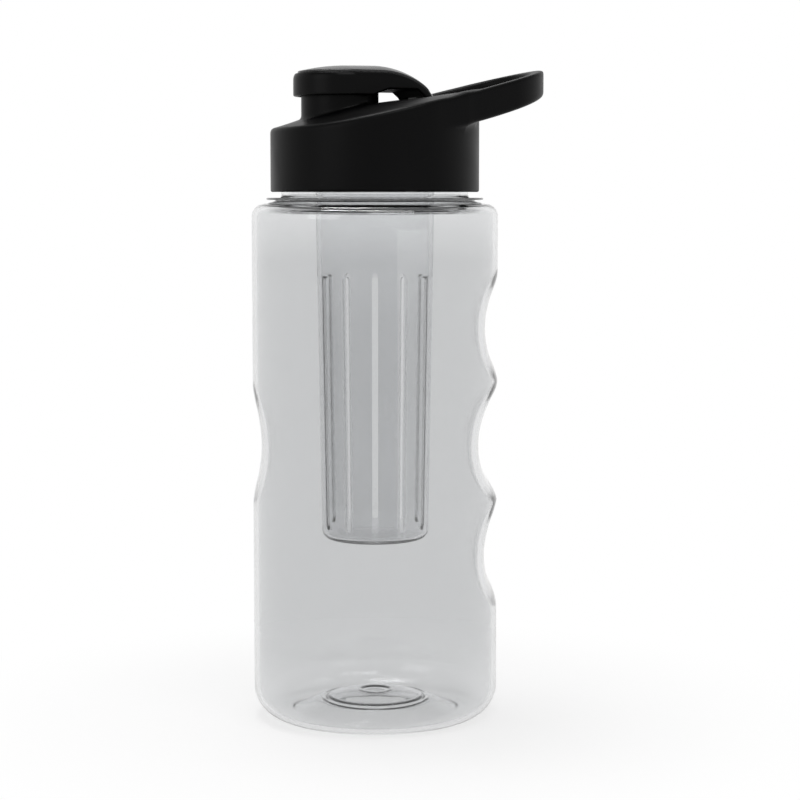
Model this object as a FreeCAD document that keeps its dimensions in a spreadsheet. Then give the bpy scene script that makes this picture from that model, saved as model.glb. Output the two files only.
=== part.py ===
"""Fruit infuser water bottle: a clear bottle with finger grips, a screw lid with a carry loop and a flip cap
over its spout, and a slotted basket that hangs from the lid.

The origin is the middle of the foot and +Z is up. The carry loop points along +X.
"""
import FreeCAD, Part
import Sketcher
import itertools
import math
import os
import re

from FreeCAD import Placement, Rotation, Vector

# Driving dimensions, in millimetres and degrees
SIZES = {
    # Bottle body
    "body_radius": 39.5,
    "body_top": 162.1,
    "bottle_wall": 1.6,
    "base_corner": 10.0,
    "foot_width": 2.6,
    "punt_height": 6.6,
    "shoulder_corner": 4.0,
    "shoulder_slope": 8.0,
    # Finger and thumb grips: depth below the body, height of the middle, radius of the hollow
    "grip_angle": -20.0,
    "finger_radius": 23.5,
    "upper_grip_depth": 4.5,
    "upper_grip_height": 126.8,
    "middle_grip_depth": 6.8,
    "middle_grip_height": 89.8,
    "lower_grip_depth": 4.6,
    "lower_grip_height": 54.0,
    "thumb_radius": 33.0,
    "thumb_depth": 3.0,
    "thumb_height": 89.2,
    "grip_edge": 2.5,
    # Neck, support ring and thread
    "neck_radius": 30.0,
    "neck_wall": 2.2,
    "neck_height": 18.0,
    "ring_radius": 34.8,
    "ring_rise": 0.15,
    "ring_thick": 1.2,
    "thread_pitch": 4.233,
    "thread_depth": 1.0,
    "thread_crest": 1.0,
    "thread_flank": 0.7,
    "thread_rise": 5.6,
    "thread_turns": 1.25,
    "lid_thread_turns": 1.0,
    "thread_gap": 0.4,
    "thread_play": 0.2,
    "thread_root": 0.3,
    # Lid: skirt, deck and carry loop
    "lid_gap": 1.6,
    "gasket_thick": 2.2,
    "gasket_gap": 0.2,
    "gasket_lip": 0.6,
    "skirt_wall": 2.0,
    "deck_rise": 12.1,
    "deck_slope": 12.8,
    "deck_wall": 3.2,
    "rim_width": 15.4,
    "rim_drop": 3.1,
    "crest_rise": 11.3,
    "crest_slope": 7.3,
    "dish_rise": 8.37,
    "dish_slope": 6.8,
    "dish_offset": 9.0,
    "dish_radius": 19.0,
    "cavity_radius": 24.0,
    "loop_reach": 56.7,
    "loop_nose": 24.0,
    "loop_width": 4.5,
    "loop_slope": 14.5,
    "loop_rise": 7.9,
    "loop_start": 2.0,
    "loop_foot": 0.3,
    "loop_tip": 8.2,
    "loop_sag": 240.0,
    "loop_edge": 1.2,
    # Spout, flip cap and hinge
    "spout_offset": 11.8,
    "spout_radius": 12.3,
    "spout_bore": 9.0,
    "spout_over": 2.2,
    "hinge_rise": 12.9,
    "cap_height": 6.8,
    "cap_overhang": 2.5,
    "cap_wall": 1.6,
    "cap_roof": 2.1,
    "cap_back": 33.3,
    "hinge_offset": 14.9,
    "hinge_half_width": 11.0,
    "cheek_radius": 2.3,
    "lug_radius": 2.1,
    "lug_width": 9.0,
    "lug_gap": 0.3,
    "pin_radius": 1.0,
    "pin_fit": 0.05,
    "pin_grip": 0.01,
    "pin_inset": 0.4,
    "panel_inset": 1.8,
    "panel_depth": 0.9,
    "panel_crown": 3.0,
    "panel_round": 32.0,
    "panel_gap": 0.1,
    "seal_radius": 11.4,
    "plug_depth": 2.6,
    "plug_gap": 0.6,
    # Infuser basket and its socket
    "socket_drop": 8.2,
    "socket_radius": 19.0,
    "socket_wall": 1.8,
    "basket_fit": 0.1,
    "basket_plug": 7.0,
    "basket_flange": 1.5,
    "basket_mouth": 19.2,
    "basket_foot": 17.3,
    "basket_angle": -20.0,
    "basket_low": 57.9,
    "basket_wall": 1.3,
    "basket_corner": 3.0,
    "slot_width": 2.2,
    "slot_low": 61.7,
    "slot_high": 143.3,
    "slot_count": 12,
}

# Heights and radii that follow from the driving dimensions
SHOULDER_R = "(body_radius - shoulder_corner * (1 - sin(shoulder_slope)))"
SHOULDER_Z = "(body_top + shoulder_corner * cos(shoulder_slope))"
NECK_BASE = f"({SHOULDER_Z} + ({SHOULDER_R} - neck_radius) * tan(shoulder_slope))"
NECK_TOP = f"({NECK_BASE} + neck_height)"
NECK_BORE = "(neck_radius - neck_wall)"
RING_LOW = f"({NECK_BASE} + ring_rise)"
RING_HIGH = f"({RING_LOW} + ring_thick)"
THREAD_LOW = f"({RING_HIGH} + thread_rise)"
FOOT_R = "(body_radius - base_corner)"
FOOT_BORE = f"({FOOT_R} - foot_width)"
PUNT_R = f"(({FOOT_BORE} ^ 2 + punt_height ^ 2) / (2 * punt_height))"
LID_LOW = f"({RING_HIGH} + lid_gap)"
SEAT = f"({NECK_TOP} + gasket_thick)"
SKIRT_BORE = "(neck_radius + thread_depth + thread_gap)"
LID_R = f"({SKIRT_BORE} + skirt_wall)"
DECK = f"({SEAT} + deck_rise)"
CREST = f"({SEAT} + crest_rise)"
DISH = f"({SEAT} + dish_rise)"
LOOP_TOP = f"({SEAT} + loop_rise)"
LOOP_CENTRE = "(loop_reach - loop_nose)"
LOOP_TIP_TOP = f"({LOOP_TOP} + loop_reach * tan(loop_slope))"
HINGE_Z = f"({SEAT} + hinge_rise)"
SPOUT_TOP = f"({HINGE_Z} + spout_over)"
CAP_TOP = f"({HINGE_Z} + cap_height)"
CAP_R = "(spout_radius + cap_overhang)"
CAP_END = "(hinge_offset + cheek_radius)"
BACK_START = f"({CAP_END} - sqrt(cap_back ^ 2 - (cap_back - cap_height) ^ 2))"
SOCKET_LOW = f"({SEAT} - socket_drop)"
CAP_FRONT = f"(-spout_offset - 2 * {CAP_R})"
PANEL_END = "(hinge_offset - lug_radius - lug_gap - cap_wall)"
TALL = f"(2 * {CAP_TOP})"

# Lengths shorter than this count as nothing
HAIR = 0.01

doc = FreeCAD.newDocument("infuser_bottle")
names = itertools.count(1)


def make_sheet():
    """Put every driving dimension in a cell of its own, under its name."""
    page = doc.addObject("Spreadsheet::Sheet", "sizes")
    for row, (name, size) in enumerate(SIZES.items(), start=1):
        page.set(f"A{row}", name)
        page.set(f"B{row}", str(size))
        page.setAlias(f"B{row}", name)
    doc.recompute()
    return page


sheet = make_sheet()


def cells(formula):
    """Write a formula of size names as one of sheet cells."""
    return re.sub(r"[a-z_]+", lambda word: f"sizes.{word[0]}" if word[0] in SIZES else word[0], formula)


def number(formula):
    """The present value of a formula."""
    return float(sheet.evalExpression(cells(formula)))


def bind(item, **formulas):
    """Bind properties of a document object to formulas."""
    for name, formula in formulas.items():
        item.setExpression(name, cells(formula))


def place(item, x="0", y="0", z="0", tilt="0", lay=0):
    """Bind an object's place. It is tilted about Y, so that +X rises, after it is laid over about X."""
    turn = f"rotation(vector(0; 1; 0); -({tilt})) * rotation(vector(1; 0; 0); {lay})"
    item.setExpression("Placement", cells(f"placement(vector({x}; {y}; {z}); {turn})"))


def arc_middle(start, end, radius, hint):
    """The middle of the arc of this radius from start to end that passes nearest to the hint."""
    chord = end - start
    middle = (start + end) * 0.5
    half = chord.Length / 2
    across = Vector(-chord.y, chord.x, 0).normalize()
    reach = math.sqrt(max(radius ** 2 - half ** 2, 0.0))
    choices = [middle + across * (side * reach + way * radius) for side in (-1, 1) for way in (-1, 1)]
    return min(choices, key=lambda point: (point - hint).Length)


def pin_point(sketch, edge, end, formulas, label):
    """Hold one end of an edge at a place given by formulas."""
    for axis, line, formula in (("X", -2, formulas[0]), ("Y", -1, formulas[1])):
        if formula == "0":
            sketch.addConstraint(Sketcher.Constraint("PointOnObject", edge, end, line))
            continue
        rule = Sketcher.Constraint("Distance" + axis, -1, 1, edge, end, number(formula))
        index = sketch.addConstraint(rule)
        sketch.renameConstraint(index, label + axis)
        sketch.setExpression(f"Constraints.{label}{axis}", cells(formula))


def outline(sketch, corners):
    """Draw a closed outline. A corner is (x, y), or (x, y, radius, hint) where an arc leads on from it."""
    ends = []
    for corner, after in zip(corners, corners[1:] + corners[:1]):
        start = Vector(number(corner[0]), number(corner[1]), 0)
        end = Vector(number(after[0]), number(after[1]), 0)
        label = f"p{next(names)}"
        if len(corner) == 2:
            edge = sketch.addGeometry(Part.LineSegment(start, end), False)
            first = 1
        else:
            hint = Vector(number(corner[3][0]), number(corner[3][1]), 0)
            radius = number(corner[2])
            edge = sketch.addGeometry(Part.Arc(start, arc_middle(start, end, radius, hint), end), False)
            first = 1 if (sketch.getPoint(edge, 1) - start).Length < HAIR else 2
            index = sketch.addConstraint(Sketcher.Constraint("Radius", edge, radius))
            sketch.renameConstraint(index, label + "R")
            sketch.setExpression(f"Constraints.{label}R", cells(corner[2]))
        pin_point(sketch, edge, first, corner[:2], label)
        ends.append((edge, first, 3 - first))
    for (edge, _, last), (after, first, _) in zip(ends, ends[1:] + ends[:1]):
        sketch.addConstraint(Sketcher.Constraint("Coincident", edge, last, after, first))


def half_round(x, y, side, radius):
    """Three corners of a half circle over (side > 0) or under a level diameter, walked counter-clockwise."""
    top = f"({y} + {side})"
    right = f"({x} + {side})"
    left = f"({x} - {side})"
    return [(right, y, radius, (right, top)), (x, top, radius, (left, top)), (left, y)]


def free_sketch(name, *outlines, lay=0):
    """A sketch of closed outlines, on the ground plane or, laid over by 90 degrees, in the XZ plane."""
    sketch = doc.addObject("Sketcher::SketchObject", name)
    sketch.Placement = Placement(Vector(), Rotation(Vector(1, 0, 0), lay))
    for corners in outlines:
        outline(sketch, corners)
    return sketch


def body_sketch(body, name, corners):
    """A sketch of one closed outline in a body's own XZ plane."""
    sketch = body.newObject("Sketcher::SketchObject", name)
    upright = [plane for plane in body.Origin.OriginFeatures if plane.Role == "XZ_Plane"]
    sketch.AttachmentSupport = [(upright[0], "")]
    sketch.MapMode = "FlatFace"
    outline(sketch, corners)
    return sketch


def turned(body, name, corners):
    """Turn an outline of radius and height about the body's vertical axis."""
    sketch = body_sketch(body, name + "_profile", corners)
    feature = body.newObject("PartDesign::Revolution", name)
    feature.Profile = sketch
    feature.ReferenceAxis = (sketch, ["V_Axis"])
    return feature


def wind_thread(body, name, root_r, crest_r, height, turns):
    """Wind a thread of the bottle's profile round the body's vertical axis, from a height upwards."""
    half = "(thread_crest / 2)"
    root = f"({half} + thread_flank * (thread_depth + thread_root))"
    sketch = body_sketch(body, name + "_profile", [
        (root_r, f"{height} - {root}"),
        (crest_r, f"{height} - {half}"),
        (crest_r, f"{height} + {half}"),
        (root_r, f"{height} + {root}"),
    ])
    doc.recompute()
    feature = body.newObject("PartDesign::AdditiveHelix", name)
    feature.Profile = sketch
    feature.ReferenceAxis = (sketch, ["V_Axis"])
    feature.Mode = "pitch-turns-angle"
    bind(feature, Pitch="thread_pitch", Turns=turns)
    return feature


def rod(name, radius, height, x="0", y="0", z="0", tilt="0", lay=0):
    """A solid cylinder that stands on the given point, or lies along -Y from it when laid over by 90."""
    item = doc.addObject("Part::Cylinder", name)
    bind(item, Radius=radius, Height=height)
    place(item, x, y, z, tilt, lay)
    return item


def prism(name, sketch, low, high):
    """Raise a sketch along its normal from one height to another."""
    item = doc.addObject("Part::Extrusion", name)
    item.Base = sketch
    item.DirMode = "Normal"
    item.Solid = True
    bind(item, LengthFwd=high, LengthRev=f"-({low})")
    return item


def cut(name, base, tool):
    """Take one solid from another."""
    item = doc.addObject("Part::Cut", name)
    item.Base = base
    item.Tool = tool
    return item


def shared(name, first, second):
    """Keep what two solids have in common."""
    item = doc.addObject("Part::Common", name)
    item.Base = first
    item.Tool = second
    return item


def joined(name, *solids):
    """Join solids into one."""
    item = doc.addObject("Part::MultiFuse", name)
    item.Shapes = list(solids)
    return item


def rounded(name, base, size, wanted):
    """Round the edges that are wanted by a radius from the sheet."""
    doc.recompute()
    radius = number(size)
    edges = [index for index, edge in enumerate(base.Shape.Edges, start=1) if wanted(edge)]
    item = doc.addObject("Part::Fillet", name)
    item.Base = base
    item.Edges = [(index, radius, radius) for index in edges]
    return item


def make_bottle():
    """The blown bottle: a solid of its outside, less a core that stays one wall inside it."""
    blank = doc.addObject("PartDesign::Body", "bottle_blank")
    turned(blank, "outside", [
        ("0", "punt_height", PUNT_R, (f"{FOOT_BORE} / 2", "punt_height")),
        (FOOT_BORE, "0"),
        (FOOT_R, "0", "base_corner", ("body_radius", "0")),
        ("body_radius", "base_corner"),
        ("body_radius", "body_top", "shoulder_corner", ("body_radius", SHOULDER_Z)),
        (SHOULDER_R, SHOULDER_Z),
        ("neck_radius", NECK_BASE),
        ("neck_radius", RING_LOW),
        ("ring_radius", RING_LOW),
        ("ring_radius", RING_HIGH),
        ("neck_radius", RING_HIGH),
        ("neck_radius", NECK_TOP),
        ("0", NECK_TOP),
    ])
    wind_thread(blank, "neck_thread", "(neck_radius - thread_root)", "(neck_radius + thread_depth)",
                THREAD_LOW, "thread_turns")

    core = doc.addObject("PartDesign::Body", "bottle_core")
    inner_r = "(body_radius - bottle_wall)"
    bend = "(shoulder_corner - bottle_wall)"
    bend_r = f"(body_radius - shoulder_corner + {bend} * sin(shoulder_slope))"
    bend_z = f"(body_top + {bend} * cos(shoulder_slope))"
    turned(core, "inside", [
        ("0", "punt_height + bottle_wall", PUNT_R, (f"{FOOT_BORE} / 2", "punt_height + bottle_wall")),
        (FOOT_BORE, "bottle_wall"),
        (FOOT_R, "bottle_wall", "base_corner - bottle_wall", (inner_r, "bottle_wall")),
        (inner_r, "base_corner"),
        (inner_r, "body_top", bend, (inner_r, bend_z)),
        (bend_r, bend_z),
        (NECK_BORE, f"{bend_z} + ({bend_r} - {NECK_BORE}) * tan(shoulder_slope)"),
        (NECK_BORE, f"{NECK_TOP} + neck_wall"),
        ("0", f"{NECK_TOP} + neck_wall"),
    ])

    grips = [
        ("upper_grip", "finger_radius", "upper_grip_depth", "upper_grip_height", "0"),
        ("middle_grip", "finger_radius", "middle_grip_depth", "middle_grip_height", "0"),
        ("lower_grip", "finger_radius", "lower_grip_depth", "lower_grip_height", "0"),
        ("thumb_grip", "thumb_radius", "thumb_depth", "thumb_height", "180"),
    ]
    outside, inside = blank, core
    for name, radius, depth, height, turn in grips:
        angle = f"(grip_angle + {turn})"
        reach = f"(body_radius - {depth} + {radius})"
        for grown, label in (("0", name), ("bottle_wall", name + "_inside")):
            hollow = doc.addObject("Part::Cylinder", label + "_hollow")
            bind(hollow, Radius=f"{radius} + {grown}", Height="2 * body_radius")
            x = f"{reach} * cos{angle} - body_radius * sin{angle}"
            y = f"{reach} * sin{angle} + body_radius * cos{angle}"
            turn_over = f"rotation(vector(0; 0; 1); {angle}) * rotation(vector(1; 0; 0); 90)"
            hollow.setExpression("Placement", cells(f"placement(vector({x}; {y}; {height}); {turn_over})"))
            if grown == "0":
                outside = cut(label, outside, hollow)
            else:
                inside = cut(label, inside, hollow)

    half_radius = number("body_radius / 2")

    def at_grip(edge):
        middle = edge.BoundBox.Center
        return edge.Closed and math.hypot(middle.x, middle.y) > half_radius

    outside = rounded("bottle_outside", outside, "grip_edge", at_grip)
    return cut("bottle", outside, inside)


def below_plane(name, height, slope, depth="0"):
    """A tilted block that fills all space lower than a sloped plane, or than the given depth under it."""
    size = f"(2 * {LID_R})"
    way = f"({depth} + {size})"
    return rod(name, size, size, x=f"{way} * sin({slope})", z=f"{height} - {way} * cos({slope})", tilt=slope)


def egg(big, nose):
    """A plan outline: a circle about the bottle's axis and a smaller one ahead of it, joined by tangents."""
    lean = f"(({LID_R} - loop_nose) / {LOOP_CENTRE})"
    side = f"sqrt(1 - {lean} ^ 2)"
    tip = f"{LOOP_CENTRE} + {nose}"
    return [
        (f"{big} * {lean}", f"{big} * {side}", big, (f"-{big}", big)),
        (f"-{big}", "0", big, (f"-{big}", f"-{big}")),
        (f"{big} * {lean}", f"-{big} * {side}"),
        (f"{LOOP_CENTRE} + {nose} * {lean}", f"-{nose} * {side}", nose, (tip, f"-{nose}")),
        (tip, "0", nose, (tip, nose)),
        (f"{LOOP_CENTRE} + {nose} * {lean}", f"{nose} * {side}"),
    ]


def make_loop():
    """The carry loop: a flat band round the egg outline, between a sloped top and a hollow underside."""
    plan = free_sketch(
        "loop_plan",
        egg(LID_R, "loop_nose"),
        egg(f"({LID_R} - loop_width)", "(loop_nose - loop_width)"),
    )
    foot = f"({SEAT} + loop_foot)"
    tip = f"({LOOP_TIP_TOP} - loop_tip)"
    side = free_sketch("loop_side", [
        ("loop_start", foot, "loop_sag", ("loop_reach / 2", foot)),
        ("loop_reach", tip),
        ("2 * loop_reach", tip),
        ("2 * loop_reach", f"{LOOP_TOP} + 2 * loop_reach * tan(loop_slope)"),
        ("loop_start", f"{LOOP_TOP} + loop_start * tan(loop_slope)"),
    ], lay=90)
    band = shared(
        "loop_band",
        prism("loop_walls", plan, LID_LOW, TALL),
        prism("loop_faces", side, f"-2 * {LID_R}", f"2 * {LID_R}"),
    )
    start = number("loop_start")

    def along_band(edge):
        box = edge.BoundBox
        return max(box.XLength, box.YLength) > HAIR and box.XMax > start + HAIR

    return rounded("loop", band, "loop_edge", along_band)


def cap_half(inset, x):
    """Half the flip cap's width at a distance along it, drawn in from its edge."""
    taper = f"(({CAP_R} - hinge_half_width) / ({CAP_END} + spout_offset))"
    return f"({CAP_R} - {inset} - {taper} * ({x} + spout_offset))"


def make_lid():
    """The lid: skirt with its thread, sloped deck, carry loop, spout, hinge lug and the basket's socket."""
    skirt = doc.addObject("PartDesign::Body", "lid_skirt")
    skirt_top = f"({SEAT} + skirt_wall)"
    turned(skirt, "skirt", [
        (SKIRT_BORE, LID_LOW),
        (LID_R, LID_LOW),
        (LID_R, skirt_top),
        (SKIRT_BORE, skirt_top),
    ])
    below = "(thread_crest + thread_flank * (thread_depth - thread_gap) + thread_play)"
    wind_thread(skirt, "lid_thread", f"({SKIRT_BORE} + thread_root)", f"({SKIRT_BORE} - thread_depth)",
                f"({THREAD_LOW} - {below})", "lid_thread_turns")

    crown = doc.addObject("PartDesign::Body", "deck_crown")
    rim_low = f"-rim_drop * ({LID_R} + rim_width) / rim_width"
    turned(crown, "crown", [
        ("0", f"-2 * {LID_R}"),
        (f"2 * {LID_R}", f"-2 * {LID_R}"),
        (f"2 * {LID_R}", rim_low),
        (f"{LID_R} - rim_width", "0"),
        ("0", "0"),
    ])
    place(crown, z=DECK, tilt="deck_slope")
    cone = shared("deck_cone", rod("deck_disc", LID_R, TALL, z=SEAT), crown)
    deck = shared("deck_solid", cone, below_plane("deck_crest", CREST, "crest_slope"))
    dish = cut(
        "deck_dish",
        rod("dish_disc", "dish_radius", TALL, x="dish_offset", z=SEAT),
        below_plane("dish_floor", DISH, "dish_slope"),
    )
    cavity = shared(
        "deck_cavity",
        rod("deck_hollow", "cavity_radius", TALL, z=f"{SEAT} - skirt_wall"),
        below_plane("deck_underside", DISH, "dish_slope", "deck_wall"),
    )
    socket = shared(
        "socket_solid",
        rod("socket_post", "socket_radius + socket_wall", TALL, z=SOCKET_LOW),
        below_plane("socket_top", DISH, "dish_slope", "deck_wall / 2"),
    )
    socket_bore = shared(
        "socket_bore",
        rod("socket_core", "socket_radius", TALL, z=f"{SOCKET_LOW} - socket_wall"),
        below_plane("socket_roof", DISH, "dish_slope", "deck_wall"),
    )
    front = "(spout_offset + spout_radius)"
    spout_foot = f"({DISH} - {front} * tan(dish_slope) - deck_wall / 2)"
    spout = rod("spout", "spout_radius", f"{SPOUT_TOP} - {spout_foot}", x="-spout_offset", z=spout_foot)
    bore_foot = f"({DISH} - (spout_offset + spout_bore) * tan(dish_slope) - deck_wall / cos(dish_slope))"
    bore = rod("spout_way", "spout_bore", TALL, x="-spout_offset", z=bore_foot)

    lug_foot = f"({DISH} + (hinge_offset - lug_radius) * tan(dish_slope) - deck_wall / 2)"
    lug_side = free_sketch("lug_side", [
        ("hinge_offset - lug_radius", lug_foot),
        ("hinge_offset + lug_radius", lug_foot),
        *half_round("hinge_offset", HINGE_Z, "lug_radius", "lug_radius"),
    ], lay=90)
    lug = prism("lug", lug_side, "-lug_width / 2", "lug_width / 2")
    pin_bore = rod("lug_bore", "pin_radius + pin_grip", "2 * lug_width", x="hinge_offset", y="lug_width",
                   z=HINGE_Z, lay=90)

    hollow_deck = cut("deck_shell", cut("dished_deck", deck, dish), cavity)
    solid = joined("lid_solid", skirt, hollow_deck, make_loop(), socket, spout, lug)
    bored = cut("lid_bored", solid, joined("lid_bores", socket_bore, bore))
    return cut("lid_body", bored, pin_bore)


def make_gasket():
    """The flat ring that the lid presses on the neck."""
    outer = rod("gasket_disc", f"{SKIRT_BORE} - gasket_gap", "gasket_thick", z=NECK_TOP)
    inner = rod("gasket_hole", f"{NECK_BORE} - gasket_lip", "gasket_thick", z=NECK_TOP)
    return cut("lid_gasket", outer, inner)


def cap_plan(name, inset, end):
    """The flip cap's plan outline, drawn in from its edge: round over the spout, narrower at the hinge."""
    radius = f"({CAP_R} - {inset})"
    half = cap_half(inset, end)
    return free_sketch(name, [
        ("-spout_offset", radius, radius, (f"-spout_offset - {radius}", radius)),
        (f"-spout_offset - {radius}", "0", radius, (f"-spout_offset - {radius}", f"-{radius}")),
        ("-spout_offset", f"-{radius}"),
        (end, f"-{half}"),
        (end, half),
    ])


def back_height(rise):
    """The height of the cap's back curve, raised by an amount, over the end of the panel."""
    return f"({CAP_TOP} - cap_back + sqrt((cap_back + {rise}) ^ 2 - ({PANEL_END} - {BACK_START}) ^ 2))"


def recess_side():
    """A side outline from the floor of the panel's recess to well above the cap's top."""
    middle = f"({BACK_START} + {PANEL_END}) / 2"
    return free_sketch("recess_side", [
        (CAP_FRONT, f"{CAP_TOP} - panel_depth"),
        (BACK_START, f"{CAP_TOP} - panel_depth", "cap_back - panel_depth", (middle, CAP_TOP)),
        (PANEL_END, back_height("-panel_depth")),
        (PANEL_END, back_height("cap_height"), "cap_back + cap_height", (middle, f"{CAP_TOP} + cap_height")),
        (BACK_START, f"{CAP_TOP} + cap_height"),
        (CAP_FRONT, f"{CAP_TOP} + cap_height"),
    ], lay=90)


def make_cap():
    """The flip cap: a shell over the spout that narrows to two cheeks at the hinge."""
    side = free_sketch("cap_side", [
        (CAP_FRONT, HINGE_Z),
        *half_round("hinge_offset", HINGE_Z, "-cheek_radius", "cheek_radius")[:2],
        (CAP_END, HINGE_Z, "cap_back", (f"({BACK_START} + {CAP_END}) / 2", CAP_TOP)),
        (BACK_START, CAP_TOP),
        (CAP_FRONT, CAP_TOP),
    ], lay=90)
    block = shared(
        "cap_block",
        prism("cap_walls", cap_plan("cap_outline", "0", CAP_END), f"{HINGE_Z} / 2", TALL),
        prism("cap_faces", side, f"-2 * {CAP_R}", f"2 * {CAP_R}"),
    )
    hollow = rod("cap_hollow", f"{CAP_R} - cap_wall", "cap_wall + cap_height - cap_roof", x="-spout_offset",
                 z=f"{HINGE_Z} - cap_wall")
    notch = doc.addObject("Part::Box", "cap_notch")
    notch_start = "(hinge_offset - lug_radius - lug_gap)"
    notch_width = "(lug_width + 2 * lug_gap)"
    bind(notch, Length="2 * cap_height", Width=notch_width, Height="4 * cap_height")
    place(notch, notch_start, f"-{notch_width} / 2", f"{HINGE_Z} - 2 * cap_height")
    pin_hole = rod("cheek_bores", "pin_radius + pin_fit", "4 * hinge_half_width", x="hinge_offset",
                   y="2 * hinge_half_width", z=HINGE_Z, lay=90)
    recess = shared(
        "panel_recess",
        prism("recess_walls", cap_plan("recess_outline", "panel_inset", PANEL_END), HINGE_Z, TALL),
        prism("recess_faces", recess_side(), f"-2 * {CAP_R}", f"2 * {CAP_R}"),
    )
    return cut("flip_cap", block, joined("cap_cuts", hollow, notch, pin_hole, recess))


def make_panel():
    """The crowned panel in the cap's top: level over the spout, then bent down the cap's back."""
    floor = f"({CAP_TOP} - panel_depth)"
    crest = f"({CAP_TOP} + panel_crown)"
    half = "sqrt(panel_round ^ 2 - (panel_round - panel_depth - panel_crown) ^ 2)"
    section = free_sketch("panel_section", [
        (f"-{half}", floor),
        (half, floor, "panel_round", ("0", crest)),
    ])
    section.Placement = Placement(Vector(), Rotation(Vector(1, 1, 1), 120))
    section.setExpression("Placement.Base.x", cells(BACK_START))
    bend = doc.addObject("Part::Revolution", "panel_bend")
    bend.Source = section
    bend.Axis = Vector(0, 1, 0)
    bend.Solid = True
    bend.setExpression("Base.x", cells(BACK_START))
    bend.setExpression("Base.z", cells(f"{CAP_TOP} - cap_back"))
    bind(bend, Angle=f"2 * asin(({PANEL_END} - {BACK_START}) / cap_back)")
    plan = cap_plan("panel_outline", "(panel_inset + panel_gap)", f"({PANEL_END} - panel_gap)")
    return shared(
        "cap_panel",
        prism("panel_walls", plan, HINGE_Z, TALL),
        joined("panel_stock", prism("panel_front", section, f"-2 * {CAP_R}", "0"), bend),
    )


def make_seal():
    """The silicone pad that lies on the spout's lip, with a plug in its bore."""
    pad = rod("seal_pad", "seal_radius", "cap_height - cap_roof - spout_over", x="-spout_offset", z=SPOUT_TOP)
    plug = rod("seal_plug", "spout_bore - plug_gap", "plug_depth + (cap_height - cap_roof - spout_over) / 2",
               x="-spout_offset", z=f"{SPOUT_TOP} - plug_depth")
    return joined("spout_seal", pad, plug)


def make_pin():
    """The hinge pin, held by the lug and free in the cap's cheeks."""
    half = "(hinge_half_width - pin_inset)"
    return rod("hinge_pin", "pin_radius", f"2 * {half}", x="hinge_offset", y=half, z=HINGE_Z, lay=90)


def make_basket():
    """The slotted basket with the plug and flange by which it hangs in the lid's socket."""
    body = doc.addObject("PartDesign::Body", "infuser_basket")
    plug_r = "(socket_radius - basket_fit)"
    flange_low = f"({SOCKET_LOW} - basket_flange)"
    turned(body, "cup", [
        ("0", "basket_low"),
        ("basket_foot - basket_corner", "basket_low", "basket_corner", ("basket_foot", "basket_low")),
        ("basket_foot", "basket_low + basket_corner"),
        ("basket_mouth", flange_low),
        ("socket_radius + socket_wall", flange_low),
        ("socket_radius + socket_wall", SOCKET_LOW),
        (plug_r, SOCKET_LOW),
        (plug_r, f"{SOCKET_LOW} + basket_plug"),
        (f"{plug_r} - basket_wall", f"{SOCKET_LOW} + basket_plug"),
        (f"{plug_r} - basket_wall", flange_low),
        ("basket_foot - basket_wall", "basket_low + basket_corner", "basket_corner - basket_wall",
         ("basket_foot - basket_wall", "basket_low + basket_wall")),
        ("basket_foot - basket_corner", "basket_low + basket_wall"),
        ("0", "basket_low + basket_wall"),
    ])
    half = "(slot_width / 2)"
    sketch = body_sketch(body, "slot_outline", [
        *half_round("0", f"(slot_high - {half})", half, half),
        *half_round("0", f"(slot_low + {half})", f"-{half}", half),
    ])
    doc.recompute()
    slot = body.newObject("PartDesign::Pocket", "slot")
    slot.Profile = sketch
    bind(slot, Length="2 * basket_mouth")
    doc.recompute()
    slots = body.newObject("PartDesign::PolarPattern", "slots")
    slots.Originals = [slot]
    slots.Axis = (sketch, ["V_Axis"])
    slots.Angle = 360
    bind(slots, Occurrences="slot_count")
    body.Tip = slots
    turn = "rotation(vector(0; 0; 1); basket_angle)"
    body.setExpression("Placement", cells(f"placement(vector(0; 0; 0); {turn})"))
    return body


def main():
    """Build every piece, check it and write it out under its own name."""
    pieces = [
        make_bottle(),
        make_lid(),
        make_gasket(),
        make_cap(),
        make_panel(),
        make_seal(),
        make_pin(),
        make_basket(),
    ]
    doc.recompute()
    failed = [item.Name for item in doc.Objects if {"Invalid", "Error"} & set(item.State)]
    if failed:
        raise RuntimeError("failed to build: " + ", ".join(failed))
    for piece in pieces:
        shape = piece.Shape
        if shape.isNull() or not shape.isValid() or len(shape.Solids) != 1:
            raise RuntimeError(f"{piece.Label} is not one valid solid")
        print(f"{piece.Label}: {shape.Volume / 1000:.2f} cubic centimetres")
    os.makedirs("parts", exist_ok=True)
    for piece in pieces:
        piece.Shape.exportStep(f"parts/{piece.Label}.step")


main()
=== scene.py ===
"""Infuser water bottle: the finished look of every piece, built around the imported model."""
import itertools
import math
from types import SimpleNamespace

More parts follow.
